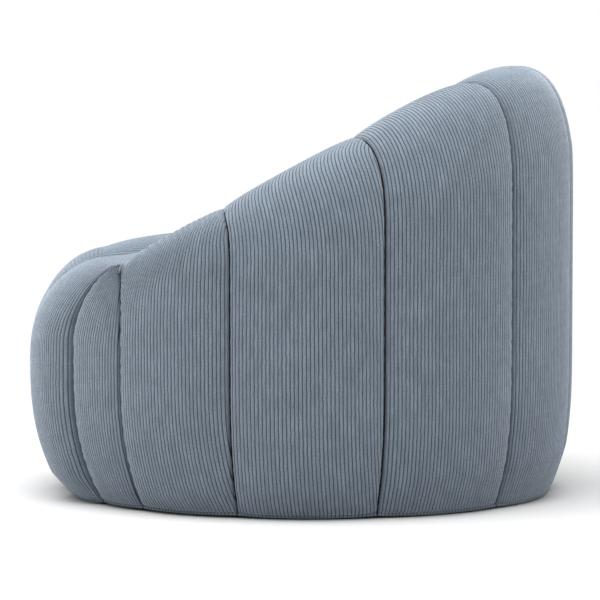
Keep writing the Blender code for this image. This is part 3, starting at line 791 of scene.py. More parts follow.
def add_panel(panel, number, material):
    """One closed panel: its ribbed outer face and a plain inner face."""
    lengths = lengths_along(panel.guide, 0)
    longest = lengths[-1].max()
    wales = int(math.ceil(panel.widest / WALE_PITCH))
    across = edge_columns(panel.widest, wales * WALE_COLUMNS)
    rows = int(longest / ROW_STEP)
    front_block = panel.kind in ("front_centre", "front_side")
    short_end = TIP_INSET if panel.kind == "arm_gusset" else CREASE_INSET if front_block else 0.0
    low_share = 0.0
    high_share = 1 - short_end / longest
    turn = np.array([0.0, 0.0012, 0.0026, 0.0045]) / longest
    along = np.concatenate([low_share + turn, np.linspace(low_share + 0.0075 / longest,
                                                          high_share - 0.008 / longest, rows),
                            high_share - turn[::-1]])
    smooth, points = panel.surface(along, across)
    from_side = wale_distance(panel, read_grid(panel.guide, np.linspace(0, 1, 97),
                                               np.linspace(0, 1, 25)))
    c = read_grid(from_side, along, across)
    s = read_grid(lengths, along, across)
    if front_block:
        c = lengths_along(smooth, 1)
    if panel.kind == "front_side":
        c = panel.widest - (c[:, -1:] - c)
    if panel.kind == "arm_gusset":
        c = lerp(c, np.broadcast_to(across * panel.widest, c.shape), 0.9)
    if panel.kind in WALE_LEAN:
        c = c - lean(panel, along, across)
    width = lengths_along(smooth, 1)
    left = width + SEAM_GAP / 2
    right = width[:, -1:] - width + SEAM_GAP / 2
    edge = np.minimum(left, right)
    foot = s - s[:1]
    head = s[-1:] - s
    c = c + wander(number, c, s) * ease(edge / 0.02)
    phase = np.abs(2 * ((c / WALE_PITCH) % 1.0) - 1)
    rib = 1 - phase ** WALE_ROUNDNESS
    ends = np.minimum(foot / 0.004, head / 0.010)
    strength = ease(edge / 0.0035) * (ease(ends + 0.2) if front_block else ease(foot / 0.004 + 0.2))
    turn_in = SEAM_DEPTH * (1 - ease(edge / SEAM_WIDTH))
    if panel.kind == "front_side":
        on_seat = ease((s - lengths[GUIDE_RISE].min()) / SEAT_FOLD_START)
        fold = CREASE_FOLD * (1 - ease(right / CREASE_FOLD_WIDTH)) * on_seat
        turn_in = np.maximum(turn_in, fold)
    turn_in = np.maximum(turn_in, HEM_DEPTH * (1 - ease(foot / HEM_WIDTH)))
    if front_block:
        turn_in = np.maximum(turn_in, CREASE_FOLD * (1 - ease(head / CREASE_FOLD_WIDTH)))
    normals = grid_normals(points)
    points = points - normals * puckers(number, width, s, edge)[..., None]
    level = grid_normals(smooth)
    face = points - normals * (WALE_HEIGHT * (1 - rib * strength))[..., None]
    face = face - level * turn_in[..., None]
    plain = points - normals * WALE_HEIGHT - level * turn_in[..., None]
    middle_picks = np.arange(4, len(across) - 4, WALE_COLUMNS)
    picks = np.unique(np.concatenate([[0, len(across) - 1], middle_picks]))
    back = plain[:, picks] - (normals[:, picks] * (COVER_THICKNESS - WALE_HEIGHT))
    if not front_block and panel.kind != "arm_gusset":
        face = np.concatenate([face, tail_rows(face[-1:])])
        back = np.concatenate([back, tail_rows(back[-1:])])
        extra = np.array(CREASE_TAIL[1:])[:, None]
        c = np.concatenate([c, np.repeat(c[-1:], len(extra), axis=0)])
        s = np.concatenate([s, s[-1:] + extra])
        edge = np.concatenate([edge, np.repeat(edge[-1:], len(extra), axis=0)])
        foot = np.concatenate([foot, foot[-1:] + extra])
        tail_head = np.repeat(0.001 * np.ones_like(head[-1:]), len(extra), axis=0)
        head = np.concatenate([head + 0.006, tail_head])
    more = len(FOOT_TAIL)
    face = np.concatenate([foot_rows(face[:1], FOOT_CLEARANCE + COVER_THICKNESS * 0.8), face])
    back = np.concatenate([foot_rows(back[:1], FOOT_CLEARANCE), back])
    c = np.concatenate([np.repeat(c[:1], more, axis=0), c])
    s = np.concatenate([s[:1] - np.array(FOOT_TAIL)[:, None], s])
    edge = np.concatenate([np.repeat(edge[:1], more, axis=0), edge])
    foot = np.concatenate([np.repeat(foot[:1], more, axis=0), foot])
    head = np.concatenate([np.repeat(head[:1], more, axis=0), head])
    row_count, column_count = face.shape[:2]
    inner_count = len(picks)
    if panel.flipped:
        face = face * np.array([-1, 1, 1])
        back = back * np.array([-1, 1, 1])
    vertices = np.concatenate([face.reshape(-1, 3), back.reshape(-1, 3)])
    outer = grid_faces(row_count, column_count)
    offset = row_count * column_count
    inner = grid_faces(row_count, inner_count, offset)[:, ::-1]
    faces = [list(f) for f in outer.tolist()] + [list(f) for f in inner.tolist()]
    at = lambda r, k: r * column_count + k
    under = lambda r, k: offset + r * inner_count + k
    for r in range(row_count - 1):
        faces.append([at(r, 0), at(r + 1, 0), under(r + 1, 0), under(r, 0)])
        faces.append([at(r + 1, column_count - 1), at(r, column_count - 1),
                      under(r, inner_count - 1), under(r + 1, inner_count - 1)])
    for k in range(inner_count - 1):
        span = list(range(picks[k], picks[k + 1] + 1))
        faces.append([under(0, k), under(0, k + 1)] + [at(0, j) for j in reversed(span)])
        faces.append([under(row_count - 1, k + 1), under(row_count - 1, k)]
                     + [at(row_count - 1, j) for j in span])
    if panel.flipped:
        faces = [f[::-1] for f in faces]
    item = new_object(panel.name.replace("_panel", "_corduroy"), vertices, faces)
    mesh = item.data
    corner = np.zeros(len(mesh.loops), np.int32)
    mesh.loops.foreach_get("vertex_index", corner)
    c_all = np.concatenate([c.ravel(), c[:, picks].ravel()])
    s_all = np.concatenate([s.ravel(), s[:, picks].ravel()])
    layer = mesh.uv_layers.new(name="wales")
    wale_uv = np.stack([c_all[corner], s_all[corner]], axis=1)
    layer.data.foreach_set("uv", wale_uv.ravel().astype(np.float32))
    # seam_distance drives the painted seam shade in the corduroy; the inner face gets 0, the
    # darkest shade.
    nearness = np.concatenate([np.minimum(edge, np.minimum(foot + 0.004, head)).ravel(),
                               np.zeros(inner_count * row_count)])
    attribute = mesh.attributes.new("seam_distance", "FLOAT", "POINT")
    attribute.data.foreach_set("value", nearness.astype(np.float32))
    mesh.materials.append(material)
    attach(item, "chair")
    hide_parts(panel.name)
    return item


def strip_object(name, middle, sideways, inward, half_width, thickness, material):
    """A thin closed strip of cloth along a line of points."""
    rings = []
    for point, side, into in zip(middle, sideways, inward):
        a, b = point - side * half_width, point + side * half_width
        rings.append([a, b, b + into * thickness, a + into * thickness])
    vertices = np.array(rings).reshape(-1, 3)
    faces = []
    for r in range(len(rings) - 1):
        for k in range(4):
            j = (k + 1) % 4
            faces.append([4 * r + k, 4 * r + j, 4 * r + 4 + j, 4 * r + 4 + k])
    faces += [[3, 2, 1, 0], [4 * len(rings) - 4 + k for k in range(4)]]
    item = new_object(name, vertices, faces, smooth=False)
    bm = bmesh.new()
    bm.from_mesh(item.data)
    bmesh.ops.recalc_face_normals(bm, faces=bm.faces)
    bm.to_mesh(item.data)
    bm.free()
    item.data.materials.append(material)
    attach(item, "chair")
    return item


def unit(vectors):
    return vectors / np.maximum(np.linalg.norm(vectors, axis=-1, keepdims=True), 1e-12)


def add_shade_dark_seam_strips(panels, material):
    """Strips of black cloth behind each seam, and behind the crease round the seat: the seam
    allowances, made black as painted shade in the seam gaps.
    """
    flip = np.array([-1.0, 1.0, 1.0])
    along = np.linspace(0.012, 0.985, 80)
    for panel in panels:
        if panel.flipped:
            continue
        sides = [0.0, 1.0] if panel.kind == "back_centre" else [0.0]
        if panel.kind == "front_centre":
            continue
        ends = along * (0.93 if panel.kind in ("arm_gusset", "arm_front") else 1.0)
        for side in sides:
            near = read_grid(panel.guide, ends, np.array([side, abs(side - 0.03)]))
            middle = near[:, 0]
            across = unit(near[:, 1] - near[:, 0])
            up = unit(np.gradient(middle, axis=0))
            out = unit(np.cross(across, up)) * (1 if side == 0.0 else -1)
            lie = middle - out * SEAM_TAPE_DEPTH
            label = "a" if side == 0.0 else "b"
            if panel.kind == "back_centre":
                strip_object(f"seam_tape_{panel.kind}_{label}", lie, across, -out,
                             SEAM_TAPE_HALF_WIDTH, SEAM_TAPE_THICKNESS, material)
                continue
            for hand, turn in (("left", 1.0), ("right", flip)):
                strip_object(f"seam_tape_{panel.kind}_{hand}", lie * turn, across * turn,
                             -out * turn, SEAM_TAPE_HALF_WIDTH, SEAM_TAPE_THICKNESS, material)
    angles = np.linspace(SEAM_GUSSET + 6, 180 - SEAM_GUSSET - 6, 140)
    points = [crease_point(a) if a <= 90 else mirrored(crease_point(180 - a)) for a in angles]
    line = np.array([tuple(p) for p in points])
    along_line = unit(np.gradient(line, axis=0))
    sideways = unit(np.cross(along_line, np.array([0.0, 0.0, 1.0])))
    down = np.tile(np.array([0.0, 0.0, -1.0]), (len(line), 1))
    strip_object("seam_tape_crease", line + down * CREASE_TAPE_DROP, sideways, down,
                 CREASE_TAPE_HALF_WIDTH, SEAM_TAPE_THICKNESS, material)


# --- Base, zips, liner and beads --------------------------------------------------------

def base_mesh(name):
    """A round fabric disc whose edge turns up in a short lip, as a turned profile."""
    radius = base_size()
    lip_start = radius - BASE_LIP_WIDTH
    inside = radius - BASE_THICKNESS
    turns = np.linspace(0, math.pi / 2, BASE_LIP_STEPS + 1)
    lip = [(lip_start + BASE_LIP_WIDTH * math.sin(turn), BASE_LIP_HEIGHT * (1 - math.cos(turn)))
           for turn in turns]
    profile = [(0.0, 0.0), (radius / 2, 0.0)] + lip + [
        (inside, BASE_LIP_HEIGHT),
        (inside - BASE_LIP_FILLET, BASE_THICKNESS + BASE_LIP_FILLET_RISE),
        (lip_start, BASE_THICKNESS),
        (radius / 2, BASE_THICKNESS),
        (0.0, BASE_THICKNESS),
    ]
    bm = bmesh.new()
    line = [bm.verts.new((across, 0.0, z)) for across, z in profile]
    edges = [bm.edges.new(pair) for pair in zip(line, line[1:] + line[:1])]
    bmesh.ops.spin(bm, geom=line + edges, cent=(0, 0, 0), axis=(0, 0, 1),
                   angle=2 * math.pi, steps=BASE_STEPS, use_merge=True)
    bmesh.ops.remove_doubles(bm, verts=bm.verts, dist=1e-6)
    bmesh.ops.recalc_face_normals(bm, faces=bm.faces)
    mesh = bpy.data.meshes.new(name)
    bm.to_mesh(mesh)
    bm.free()
    return mesh


def box_cutter(low, high):
    """A box to cut with, which is removed again afterwards."""
    low, high = Vector(low), Vector(high)
    bpy.ops.mesh.primitive_cube_add(size=1.0, location=(low + high) / 2, scale=high - low)
    return bpy.context.active_object


def add_base(material):
    """The two halves of the base fabric, sewn edge to edge past the ends of the zip."""
    reach = 2 * base_size()
    end = COVER_ZIP_LENGTH / 2 + STOP_LENGTH + SLOT_END_GAP
    spans = {"base_front_half": (-SEAM_GAP / 2, reach), "base_rear_half": (-reach, SEAM_GAP / 2)}
    for name, (near, far) in spans.items():
        half = bpy.data.objects.new(name.replace("half", "cloth"), base_mesh(name))
        bpy.context.scene.collection.objects.link(half)
        half.data.transform(Matrix.Translation((0, BASE_SHIFT, 0)))
        cutters = [box_cutter((-reach, BASE_SHIFT + near, -CUT_BELOW),
                              (reach, BASE_SHIFT + far, CUT_ABOVE)),
                   box_cutter((-end, BASE_SHIFT - SLOT_HALF_WIDTH, -CUT_BELOW),
                              (end, BASE_SHIFT + SLOT_HALF_WIDTH, CUT_ABOVE))]
        for cutter in cutters:
            modifier = half.modifiers.new("cut", "BOOLEAN")
            modifier.operation = "DIFFERENCE"
            modifier.solver = "EXACT"
            modifier.object = cutter
        bpy.context.view_layer.update()
        cut_half = half.evaluated_get(bpy.context.evaluated_depsgraph_get())
        result = bpy.data.meshes.new_from_object(cut_half)
        half.modifiers.clear()
        half.data = result
        for cutter in cutters:
            bpy.data.objects.remove(cutter, do_unlink=True)
        result.materials.clear()
        result.materials.append(material)
        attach(half, "chair")
        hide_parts(name)


def rounded_bar():
    """The points and faces of one small bar, a unit each way, with its edges taken off."""
    bpy.ops.object.select_all(action="DESELECT")
    bpy.ops.mesh.primitive_cube_add(size=1.0)
    bar = bpy.context.active_object
    bpy.ops.object.mode_set(mode="EDIT")
    bpy.ops.mesh.select_all(action="SELECT")
    bpy.ops.mesh.bevel(offset=0.22, segments=1)
    bpy.ops.object.mode_set(mode="OBJECT")
    points = np.array([tuple(vertex.co) for vertex in bar.data.vertices])
    sides = [list(face.vertices) for face in bar.data.polygons]
    bpy.data.objects.remove(bar, do_unlink=True)
    return points, sides


def bar_rows(name, middles, along, across, up, size, material):
    """One small bar copied to many places, such as stitches or coil teeth, as one mesh."""
    points, sides = rounded_bar()
    length, width, height = size
    vertices = (middles[:, None, :]
                + along[:, None, :] * (length * points[None, :, :1])
                + across[:, None, :] * (width * points[None, :, 1:2])
                + up[:, None, :] * (height * points[None, :, 2:]))
    faces = [[index * len(points) + k for k in side]
             for index in range(len(middles)) for side in sides]
    item = new_object(name, vertices.reshape(-1, 3), faces, smooth=False)
    outward_faces(item)
    item.data.materials.append(material)
    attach(item, "chair")
    return item


def add_hem_stitches(material):
    """A row of thread stitches round the lip of the base fabric."""
    lip_curve = BASE_LIP_WIDTH * (1 - math.sin(math.acos(1 - STITCH_LINE)))
    radius = base_size() + STITCH_WIDTH / 2 + FIT_GAP - lip_curve
    count = int(2 * math.pi * radius / STITCH_PITCH)
    turns = np.arange(count) * 2 * math.pi / count
    out = np.stack([np.cos(turns), np.sin(turns), 0 * turns], axis=1)
    round_it = np.stack([-np.sin(turns), np.cos(turns), 0 * turns], axis=1)
    middles = out * radius + np.array([0.0, BASE_SHIFT, BASE_LIP_HEIGHT * STITCH_LINE])
    up = np.tile([0.0, 0.0, 1.0], (count, 1))
    item = bar_rows("base_hem_stitches", middles, round_it, out, up,
                    (STITCH_LENGTH, STITCH_WIDTH, STITCH_WIDTH), material)


def add_zip_cloth(prefix, tape_material, coil_material, metal):
    """Woven tapes and toothed coils in the place of one zip's plain bars."""
    for side in ("front", "rear"):
        low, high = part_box(f"{prefix}_tape_{side}")
        xs = np.linspace(low.x, high.x, TAPE_STEPS)
        ys = np.linspace(low.y, high.y, 9)
        x, y = np.meshgrid(xs, ys, indexing="ij")
        wave = 0.00006 * np.sin(x / 0.0021 + 4 * np.sin(y / 0.0013))
        top = np.stack([x, y, high.z - 0.00006 + wave], axis=-1)
        under = np.stack([x, y, low.z + 0.00006 + wave], axis=-1)
        columns = len(ys)
        count = top.shape[0] * columns
        faces = (grid_faces(len(xs), columns)[:, ::-1].tolist()
                 + grid_faces(len(xs), columns, count).tolist())
        border = (list(range(columns)) + [r * columns + columns - 1 for r in range(1, len(xs))]
                  + [(len(xs) - 1) * columns + k for k in range(columns - 2, -1, -1)]
                  + [r * columns for r in range(len(xs) - 2, 0, -1)])
        for a, b in zip(border, border[1:] + border[:1]):
            faces.append([b, a, count + a, count + b])
        both = np.concatenate([top.reshape(-1, 3), under.reshape(-1, 3)])
        tape = new_object(f"{prefix}_woven_tape_{side}", both, faces)
        outward_faces(tape)
        tape.data.materials.append(tape_material)
        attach(tape, "chair")
        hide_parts(f"{prefix}_tape_{side}")
        low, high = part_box(f"{prefix}_chain_{side}")
        count = int((high.x - low.x) / TOOTH_PITCH)
        xs = low.x + (np.arange(count) + 0.5) * (high.x - low.x) / count
        middles = np.stack([xs, np.full(count, (low.y + high.y) / 2),
                            np.full(count, (low.z + high.z) / 2)], axis=1)
        ex, ey, ez = (np.tile(v, (count, 1)) for v in ((1.0, 0, 0), (0, 1.0, 0), (0, 0, 1.0)))
        teeth = bar_rows(f"{prefix}_teeth_{side}", middles, ey, ex, ez,
                         (high.y - low.y, 0.8 * TOOTH_PITCH, high.z - low.z), coil_material)
        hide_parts(f"{prefix}_chain_{side}")
    for part in ("slider", "top_stop", "bottom_stop"):
        item = frame["nodes"][f"{prefix}_{part}"]
        item.data.materials.clear()
        item.data.materials.append(metal)
        rounded_edges = item.modifiers.new("rounded_edges", "BEVEL")
        rounded_edges.width = 0.00018
        rounded_edges.segments = 2
        rounded_edges.limit_method = "ANGLE"


def outward_faces(item):
    bm = bmesh.new()
    bm.from_mesh(item.data)
    bmesh.ops.recalc_face_normals(bm, faces=bm.faces)
    bm.to_mesh(item.data)
    bm.free()


def wrinkles(points, scale, turn):
    """Soft creases between 0 and 1, the same at every run."""
    x, y, z = points[:, 0], points[:, 1], points[:, 2]
    a = np.sin(scale * x + 2.1 * np.sin(0.6 * scale * z + turn)) * np.sin(0.8 * scale * y + turn)
    b = np.sin(1.9 * scale * z + 1.4 * np.sin(scale * y) + 2 * turn)
    return 0.5 + 0.25 * (a + b)


def bag_inward(points, mesh):
    """Directions into the filling, read from its solid and evened out along the mesh."""
    filling = frame["nodes"]["bead_filling"].data
    tree = BVHTree.FromPolygons([v.co for v in filling.vertices],
                                [list(face.vertices) for face in filling.polygons])
    inward = np.array([-tree.find_nearest(Vector(point))[1] for point in points])
    edges = np.zeros(len(mesh.edges) * 2, np.int32)
    mesh.edges.foreach_get("vertices", edges)
    edges = edges.reshape(-1, 2)
    for step in range(6):
        total = inward.copy()
        np.add.at(total, edges[:, 0], inward[edges[:, 1]])
        np.add.at(total, edges[:, 1], inward[edges[:, 0]])
        inward = unit(total)
    return inward


def crease_line():
    angles = np.linspace(SEAM_GUSSET, 180 - SEAM_GUSSET, 160)
    return [crease_point(a) if a <= 90 else mirrored(crease_point(180 - a)) for a in angles]


def crease_distance(points):
    """How far each point is from the crease round the seat."""
    line = crease_line()
    tree = KDTree(len(line))
    for index, point in enumerate(line):
        tree.insert(point, index)
    tree.balance()
    return np.array([tree.find(point)[2] for point in points])


def add_filled_bag(node, name, material, cuts, draw, depth, scale, room):
    """A finer, creased copy of a bag's solid, drawn in slightly from its neighbours."""
    mesh = frame["nodes"][node].data.copy()
    mesh.name = name
    bm = bmesh.new()
    bm.from_mesh(mesh)
    bmesh.ops.remove_doubles(bm, verts=bm.verts, dist=1e-6)
    bmesh.ops.subdivide_edges(bm, edges=bm.edges, cuts=cuts, use_grid_fill=True)
    bm.to_mesh(mesh)
    bm.free()
    points = np.zeros(len(mesh.vertices) * 3)
    mesh.vertices.foreach_get("co", points)
    points = points.reshape(-1, 3)
    inward = bag_inward(points, mesh)
    above_base = ease((points[:, 2] - 0.02) / 0.05)
    amount = (draw + depth * wrinkles(points, scale, 0.7)) * above_base
    points += inward * amount[:, None]
    points[:, 2] -= room * np.exp(-(crease_distance(points) / CREASE_ROOM_REACH) ** 2)
    mesh.vertices.foreach_set("co", points.ravel())
    mesh.shade_smooth()
    mesh.materials.clear()
    mesh.materials.append(material)
    mesh.update()
    item = bpy.data.objects.new(name, mesh)
    bpy.context.scene.collection.objects.link(item)
    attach(item, "chair")
    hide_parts(node)
    return item


def add_liner(material):
    liner = add_filled_bag("liner_bag", "liner_cloth", material, cuts=2,
                           draw=0.0015, depth=0.0025, scale=55.0, room=CREASE_ROOM)


def add_beads(material):
    beads = add_filled_bag("bead_filling", "loose_beads", material, cuts=3,
                           draw=0.0062, depth=0.0013, scale=140.0, room=BEAD_CREASE_ROOM)


# --- Materials ------------------------------------------------------------------------

class Nodes:
    """Short-hand for building one material's nodes."""

    def __init__(self, name):
        self.material = bpy.data.materials.new(name)
        self.material.use_nodes = True
        self.tree = self.material.node_tree
        self.shader = self.tree.nodes["Principled BSDF"]

    def add(self, kind, **settings):
        node = self.tree.nodes.new(kind)
        for key, value in settings.items():
            setattr(node, key, value)
        return node

    def link(self, source, target):
        self.tree.links.new(source, target)

    def value(self, socket, amount):
        if hasattr(amount, "node"):
            self.link(amount, socket)
        else:
            socket.default_value = amount

    def maths(self, operation, a, b=0.0, c=0.0, clamp=False):
        node = self.add("ShaderNodeMath", operation=operation, use_clamp=clamp)
        for socket, amount in zip(node.inputs, (a, b, c)):
            self.value(socket, amount)
        return node.outputs[0]

    def smooth_step(self, amount, low, high):
        node = self.add("ShaderNodeMapRange", interpolation_type="SMOOTHSTEP")
        self.value(node.inputs[0], amount)
        node.inputs[1].default_value = low
        node.inputs[2].default_value = high
        return node.outputs[0]

    def remap(self, amount, low, high, new_low, new_high):
        node = self.add("ShaderNodeMapRange")
        self.value(node.inputs[0], amount)
        for index, edge in enumerate((low, high, new_low, new_high), 1):
            node.inputs[index].default_value = edge
        return node.outputs[0]

    def noise(self, vector, scale, detail=2.0, roughness=0.5):
        node = self.add("ShaderNodeTexNoise")
        if vector is not None:
            self.link(vector, node.inputs["Vector"])
        node.inputs["Scale"].default_value = scale
        node.inputs["Detail"].default_value = detail
        node.inputs["Roughness"].default_value = roughness
        return node.outputs["Fac"]

    def stretch(self, vector, scale):
        node = self.add("ShaderNodeVectorMath", operation="MULTIPLY")
        self.link(vector, node.inputs[0])
        node.inputs[1].default_value = scale
        return node.outputs[0]

    def objects(self):
        return self.add("ShaderNodeTexCoord").outputs["Object"]

    def mix(self, share, a, b):
        node = self.add("ShaderNodeMix", data_type="RGBA")
        self.value(node.inputs[0], share)
        for socket, colour in ((node.inputs[6], a), (node.inputs[7], b)):
            if hasattr(colour, "node"):
                self.link(colour, socket)
            else:
                socket.default_value = (*colour, 1.0)
        return node.outputs[2]

    def brighten(self, colour, amount):
        node = self.add("ShaderNodeHueSaturation")
        self.value(node.inputs["Value"], amount)
        self.link(colour, node.inputs["Color"])
        return node.outputs[0]

    def bump(self, height, distance, strength=1.0, normal=None):
        node = self.add("ShaderNodeBump")
        node.inputs["Strength"].default_value = strength
        node.inputs["Distance"].default_value = distance
        self.link(height, node.inputs["Height"])
        if normal is not None:
            self.link(normal, node.inputs["Normal"])
        return node.outputs[0]


def corduroy_material():
    """Slate-blue wide-wale corduroy: brushed pile on the ribs, woven ground in the grooves, with
    painted shade darkening the grooves and the cloth beside the seams.
    """
    n = Nodes("corduroy")
    uv = n.add("ShaderNodeUVMap", uv_map="wales").outputs[0]
    split = n.add("ShaderNodeSeparateXYZ")
    n.link(uv, split.inputs[0])
    turns = n.maths("DIVIDE", split.outputs[0], WALE_PITCH)
    sweep = n.maths("MULTIPLY", n.maths("FRACT", turns), 2.0)
    phase = n.maths("ABSOLUTE", n.maths("SUBTRACT", sweep, 1.0))
    groove = n.smooth_step(phase, 0.58, 0.96)
    place = n.objects()
    patches = n.noise(place, 7.0, 3.0, 0.55)
    streaks = n.noise(n.stretch(uv, (420.0, 26.0, 1.0)), 1.0, 3.0, 0.6)
    pile = n.noise(n.stretch(uv, (2600.0, 1500.0, 1.0)), 1.0, 2.0, 0.6)
    tufts = n.noise(n.stretch(uv, (330.0, 460.0, 1.0)), 1.0, 2.0, 0.6)
    crush = n.noise(place, 38.0, 3.0, 0.6)
    rib = n.mix(n.smooth_step(streaks, 0.25, 0.8), RIB_DARK, RIB_LIGHT)
    # Painted shade: the grooves take the woven ground's colour darkened far below the ribs, as the
    # shade that falls in them.
    colour = n.mix(groove, rib, GROOVE_GROUND_AND_SHADE)
    # Painted shade: the colour darkens to 0.65 at the seams, the crease and the foot, fading out
    # over 4 mm, and on the inner face.
    near = n.add("ShaderNodeAttribute", attribute_name="seam_distance").outputs["Fac"]
    clear_of_seam_shade = n.smooth_step(near, 0.0, 0.004)
    tone = n.maths("MULTIPLY", n.remap(patches, 0.3, 0.7, 0.93, 1.07),
                   n.remap(crush, 0.3, 0.7, 0.93, 1.07))
    tone = n.maths("MULTIPLY", tone, n.remap(pile, 0.2, 0.8, 0.78, 1.22))
    tone = n.maths("MULTIPLY", tone, n.remap(tufts, 0.3, 0.7, 0.84, 1.16))
    tone = n.maths("MULTIPLY", tone, n.remap(clear_of_seam_shade, 0.0, 1.0, 0.65, 1.0))
    n.link(n.brighten(colour, tone), n.shader.inputs["Base Color"])
    weave = n.maths("SINE", n.maths("MULTIPLY", split.outputs[1], 2 * math.pi / 0.0011))
    weave = n.maths("MULTIPLY", weave, groove)
    soft = n.bump(pile, 0.0007, 0.6)
    soft = n.bump(streaks, 0.0006, 0.5, soft)
    soft = n.bump(weave, 0.0002, 0.6, soft)
    n.link(soft, n.shader.inputs["Normal"])
    n.shader.inputs["Roughness"].default_value = 0.92
    n.shader.inputs["Specular IOR Level"].default_value = 0.15
    n.link(n.remap(groove, 0.0, 1.0, SHEEN, 0.05), n.shader.inputs["Sheen Weight"])
    n.shader.inputs["Sheen Roughness"].default_value = 0.42
    n.shader.inputs["Sheen Tint"].default_value = (0.80, 0.88, 1.0, 1.0)
    return n.material


def woven_material(name, dark, light, pitch, roughness, relief=0.0001, sheen=0.0):
    """Plain woven cloth: warp and weft at a real pitch, with slubs and slow patches."""
    n = Nodes(name)
    place = n.objects()
    split = n.add("ShaderNodeSeparateXYZ")
    n.link(place, split.inputs[0])
    turn = 2 * math.pi / pitch
    warp = n.maths("SINE", n.maths("MULTIPLY", split.outputs[0], turn))
    weft = n.maths("SINE", n.maths("MULTIPLY", split.outputs[1], turn))
    cloth = n.maths("MULTIPLY", warp, weft)
    slubs = n.noise(n.stretch(place, (300.0, 40.0, 300.0)), 1.0, 3.0, 0.6)
    patches = n.noise(place, 9.0, 3.0, 0.6)
    share = n.maths("ADD", n.remap(cloth, -1.0, 1.0, 0.0, 0.6),
                    n.remap(slubs, 0.3, 0.7, 0.0, 0.4), clamp=True)
    colour = n.mix(share, dark, light)
    uneven = n.brighten(colour, n.remap(patches, 0.3, 0.7, 0.85, 1.15))
    n.link(uneven, n.shader.inputs["Base Color"])
    n.link(n.bump(cloth, relief, 0.8), n.shader.inputs["Normal"])
    n.shader.inputs["Roughness"].default_value = roughness
    n.shader.inputs["Sheen Weight"].default_value = sheen
    return n.material


def plastic_material(name, colour, roughness, metallic=0.0):
    """Moulded plastic or lacquered metal with fine scuffs and uneven gloss."""
    n = Nodes(name)
    place = n.objects()
    scuffs = n.noise(n.stretch(place, (900.0, 200.0, 400.0)), 1.0, 4.0, 0.7)
    tone = n.noise(place, 140.0, 3.0, 0.6)
    light = tuple(min(1.0, 1.6 * value) for value in colour)
    n.link(n.mix(n.smooth_step(scuffs, 0.55, 0.85), colour, light), n.shader.inputs["Base Color"])
    n.link(n.remap(tone, 0.3, 0.7, roughness * 0.8, roughness * 1.25), n.shader.inputs["Roughness"])
    n.link(n.bump(scuffs, 0.00005, 0.5), n.shader.inputs["Normal"])
    n.shader.inputs["Metallic"].default_value = metallic
    return n.material


def bead_material():
    """Expanded polystyrene: white beads a few millimetres across, with painted shade in the gaps
    between them.
    """
    n = Nodes("beads")
    place = n.objects()
    cells = n.add("ShaderNodeTexVoronoi")
    n.link(place, cells.inputs["Vector"])
    cells.inputs["Scale"].default_value = 290.0
    distance = cells.outputs["Distance"]
    foam = n.noise(place, 2400.0, 2.0, 0.6)
    # Painted shade: the cells darken to grey at their edges, where the beads meet.
    colour = n.mix(n.smooth_step(distance, 0.35, 0.75), (0.92, 0.92, 0.90), (0.45, 0.45, 0.44))
    n.link(colour, n.shader.inputs["Base Color"])
    round_top = n.maths("SUBTRACT", 1.0, n.maths("MULTIPLY", distance, distance))
    n.link(n.bump(foam, 0.0001, 0.5, n.bump(round_top, 0.0015, 0.9)), n.shader.inputs["Normal"])
    n.shader.inputs["Roughness"].default_value = 0.55
    n.shader.inputs["Subsurface Weight"].default_value = 0.1
    return n.material


RIB_LIGHT = (0.164, 0.198, 0.236)
RIB_DARK = (0.110, 0.136, 0.166)
# The groove colour is the woven ground's colour with painted groove shade in it.
GROOVE_GROUND_AND_SHADE = (0.033, 0.042, 0.054)
SHEEN = 0.75


# --- Studio ---------------------------------------------------------------------------

FLOOR_RADIUS = 1.7
FLOOR_SHADE = 0.62
WORLD_LIGHT = 1.0
TOP_LIGHT_AT = (0.5, -0.4, 2.5)
TOP_LIGHT_AIM = (0, 0, 0.3)
TOP_LIGHT_SIZE = (3.2, 3.0)
TOP_LIGHT_POWER = 128
CAMERA_AT = (3.9, 0.0, 0.482)
CAMERA_AIM = (0, 0, 0.295)
CAMERA_LENS = 149.5


def add_stage():
    """A plain, pale, round floor."""
    bm = bmesh.new()
    bmesh.ops.create_circle(bm, cap_ends=True, segments=96, radius=FLOOR_RADIUS)
    mesh = bpy.data.meshes.new("studio_floor")
    bm.to_mesh(mesh)
    bm.free()
    n = Nodes("studio_paper")
    n.shader.inputs["Base Color"].default_value = (FLOOR_SHADE, FLOOR_SHADE, FLOOR_SHADE, 1.0)
    n.shader.inputs["Roughness"].default_value = 0.95
    n.shader.inputs["Specular IOR Level"].default_value = 0.0
    mesh.materials.append(n.material)
    floor = bpy.data.objects.new("studio_floor", mesh)
    floor.location.z = -0.0002
    bpy.context.scene.collection.objects.link(floor)


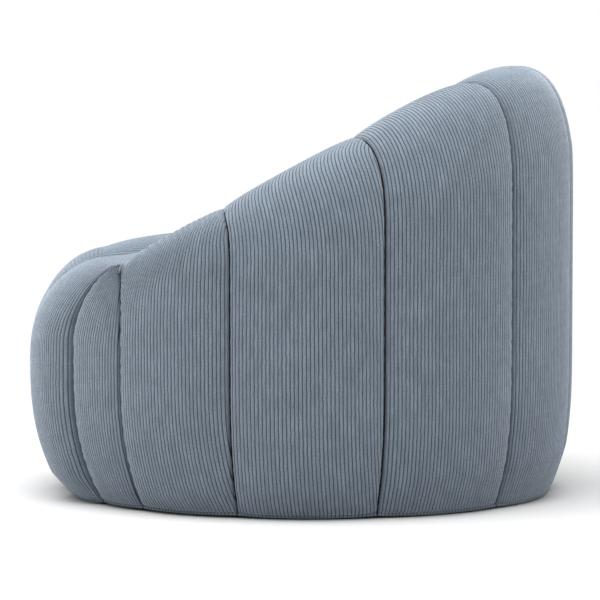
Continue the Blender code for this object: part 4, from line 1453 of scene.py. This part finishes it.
def add_light(name, place, target, size, power):
    light = bpy.data.lights.new(name, "AREA")
    light.shape = "RECTANGLE"
    light.size, light.size_y = size
    light.energy = power
    item = bpy.data.objects.new(name, light)
    item.location = place
    item.rotation_euler = (Vector(target) - Vector(place)).to_track_quat("-Z", "Y").to_euler()
    bpy.context.scene.collection.objects.link(item)


def add_studio():
    add_stage()
    world = bpy.data.worlds.new("studio")
    world.use_nodes = True
    back = world.node_tree.nodes["Background"]
    back.inputs["Color"].default_value = (1.0, 1.0, 1.0, 1.0)
    back.inputs["Strength"].default_value = WORLD_LIGHT
    bpy.context.scene.world = world
    add_light("top_light", TOP_LIGHT_AT, TOP_LIGHT_AIM, TOP_LIGHT_SIZE, TOP_LIGHT_POWER)
    camera = bpy.data.cameras.new("camera")
    camera.sensor_width = 36.0
    camera.lens = CAMERA_LENS
    item = bpy.data.objects.new("camera", camera)
    item.location = CAMERA_AT
    view = Vector(CAMERA_AIM) - item.location
    item.rotation_euler = view.to_track_quat("-Z", "Y").to_euler()
    bpy.context.scene.collection.objects.link(item)
    bpy.context.scene.camera = item
    bpy.context.scene.view_settings.view_transform = "Standard"


def main():
    panels = all_panels()
    simulate(panels)
    corduroy = corduroy_material()
    for number, panel in enumerate(panels):
        add_panel(panel, number, corduroy)
    base_cloth = woven_material("base_fabric", (0.006, 0.006, 0.007), (0.022, 0.022, 0.024),
                                0.0012, 0.85)
    # The seam strips use the black base cloth as painted shade in the seam gaps.
    add_shade_dark_seam_strips(panels, base_cloth)
    liner_cloth = woven_material("liner_fabric", (0.60, 0.59, 0.56), (0.82, 0.81, 0.78),
                                 0.0007, 0.75)
    tape = woven_material("zip_tape", (0.012, 0.012, 0.014), (0.035, 0.035, 0.038), 0.0009, 0.85)
    coil = plastic_material("zip_coil", (0.022, 0.022, 0.025), 0.42)
    metal = plastic_material("zip_metal", (0.10, 0.10, 0.11), 0.38, 0.85)
    beads = bead_material()
    add_base(base_cloth)
    thread = woven_material("base_thread", (0.015, 0.015, 0.017), (0.05, 0.05, 0.055), 0.0004, 0.6)
    add_hem_stitches(thread)
    add_zip_cloth("cover_zip", tape, coil, metal)
    add_zip_cloth("liner_zip", tape, coil, metal)
    add_liner(liner_cloth)
    add_beads(beads)
    add_studio()


main()
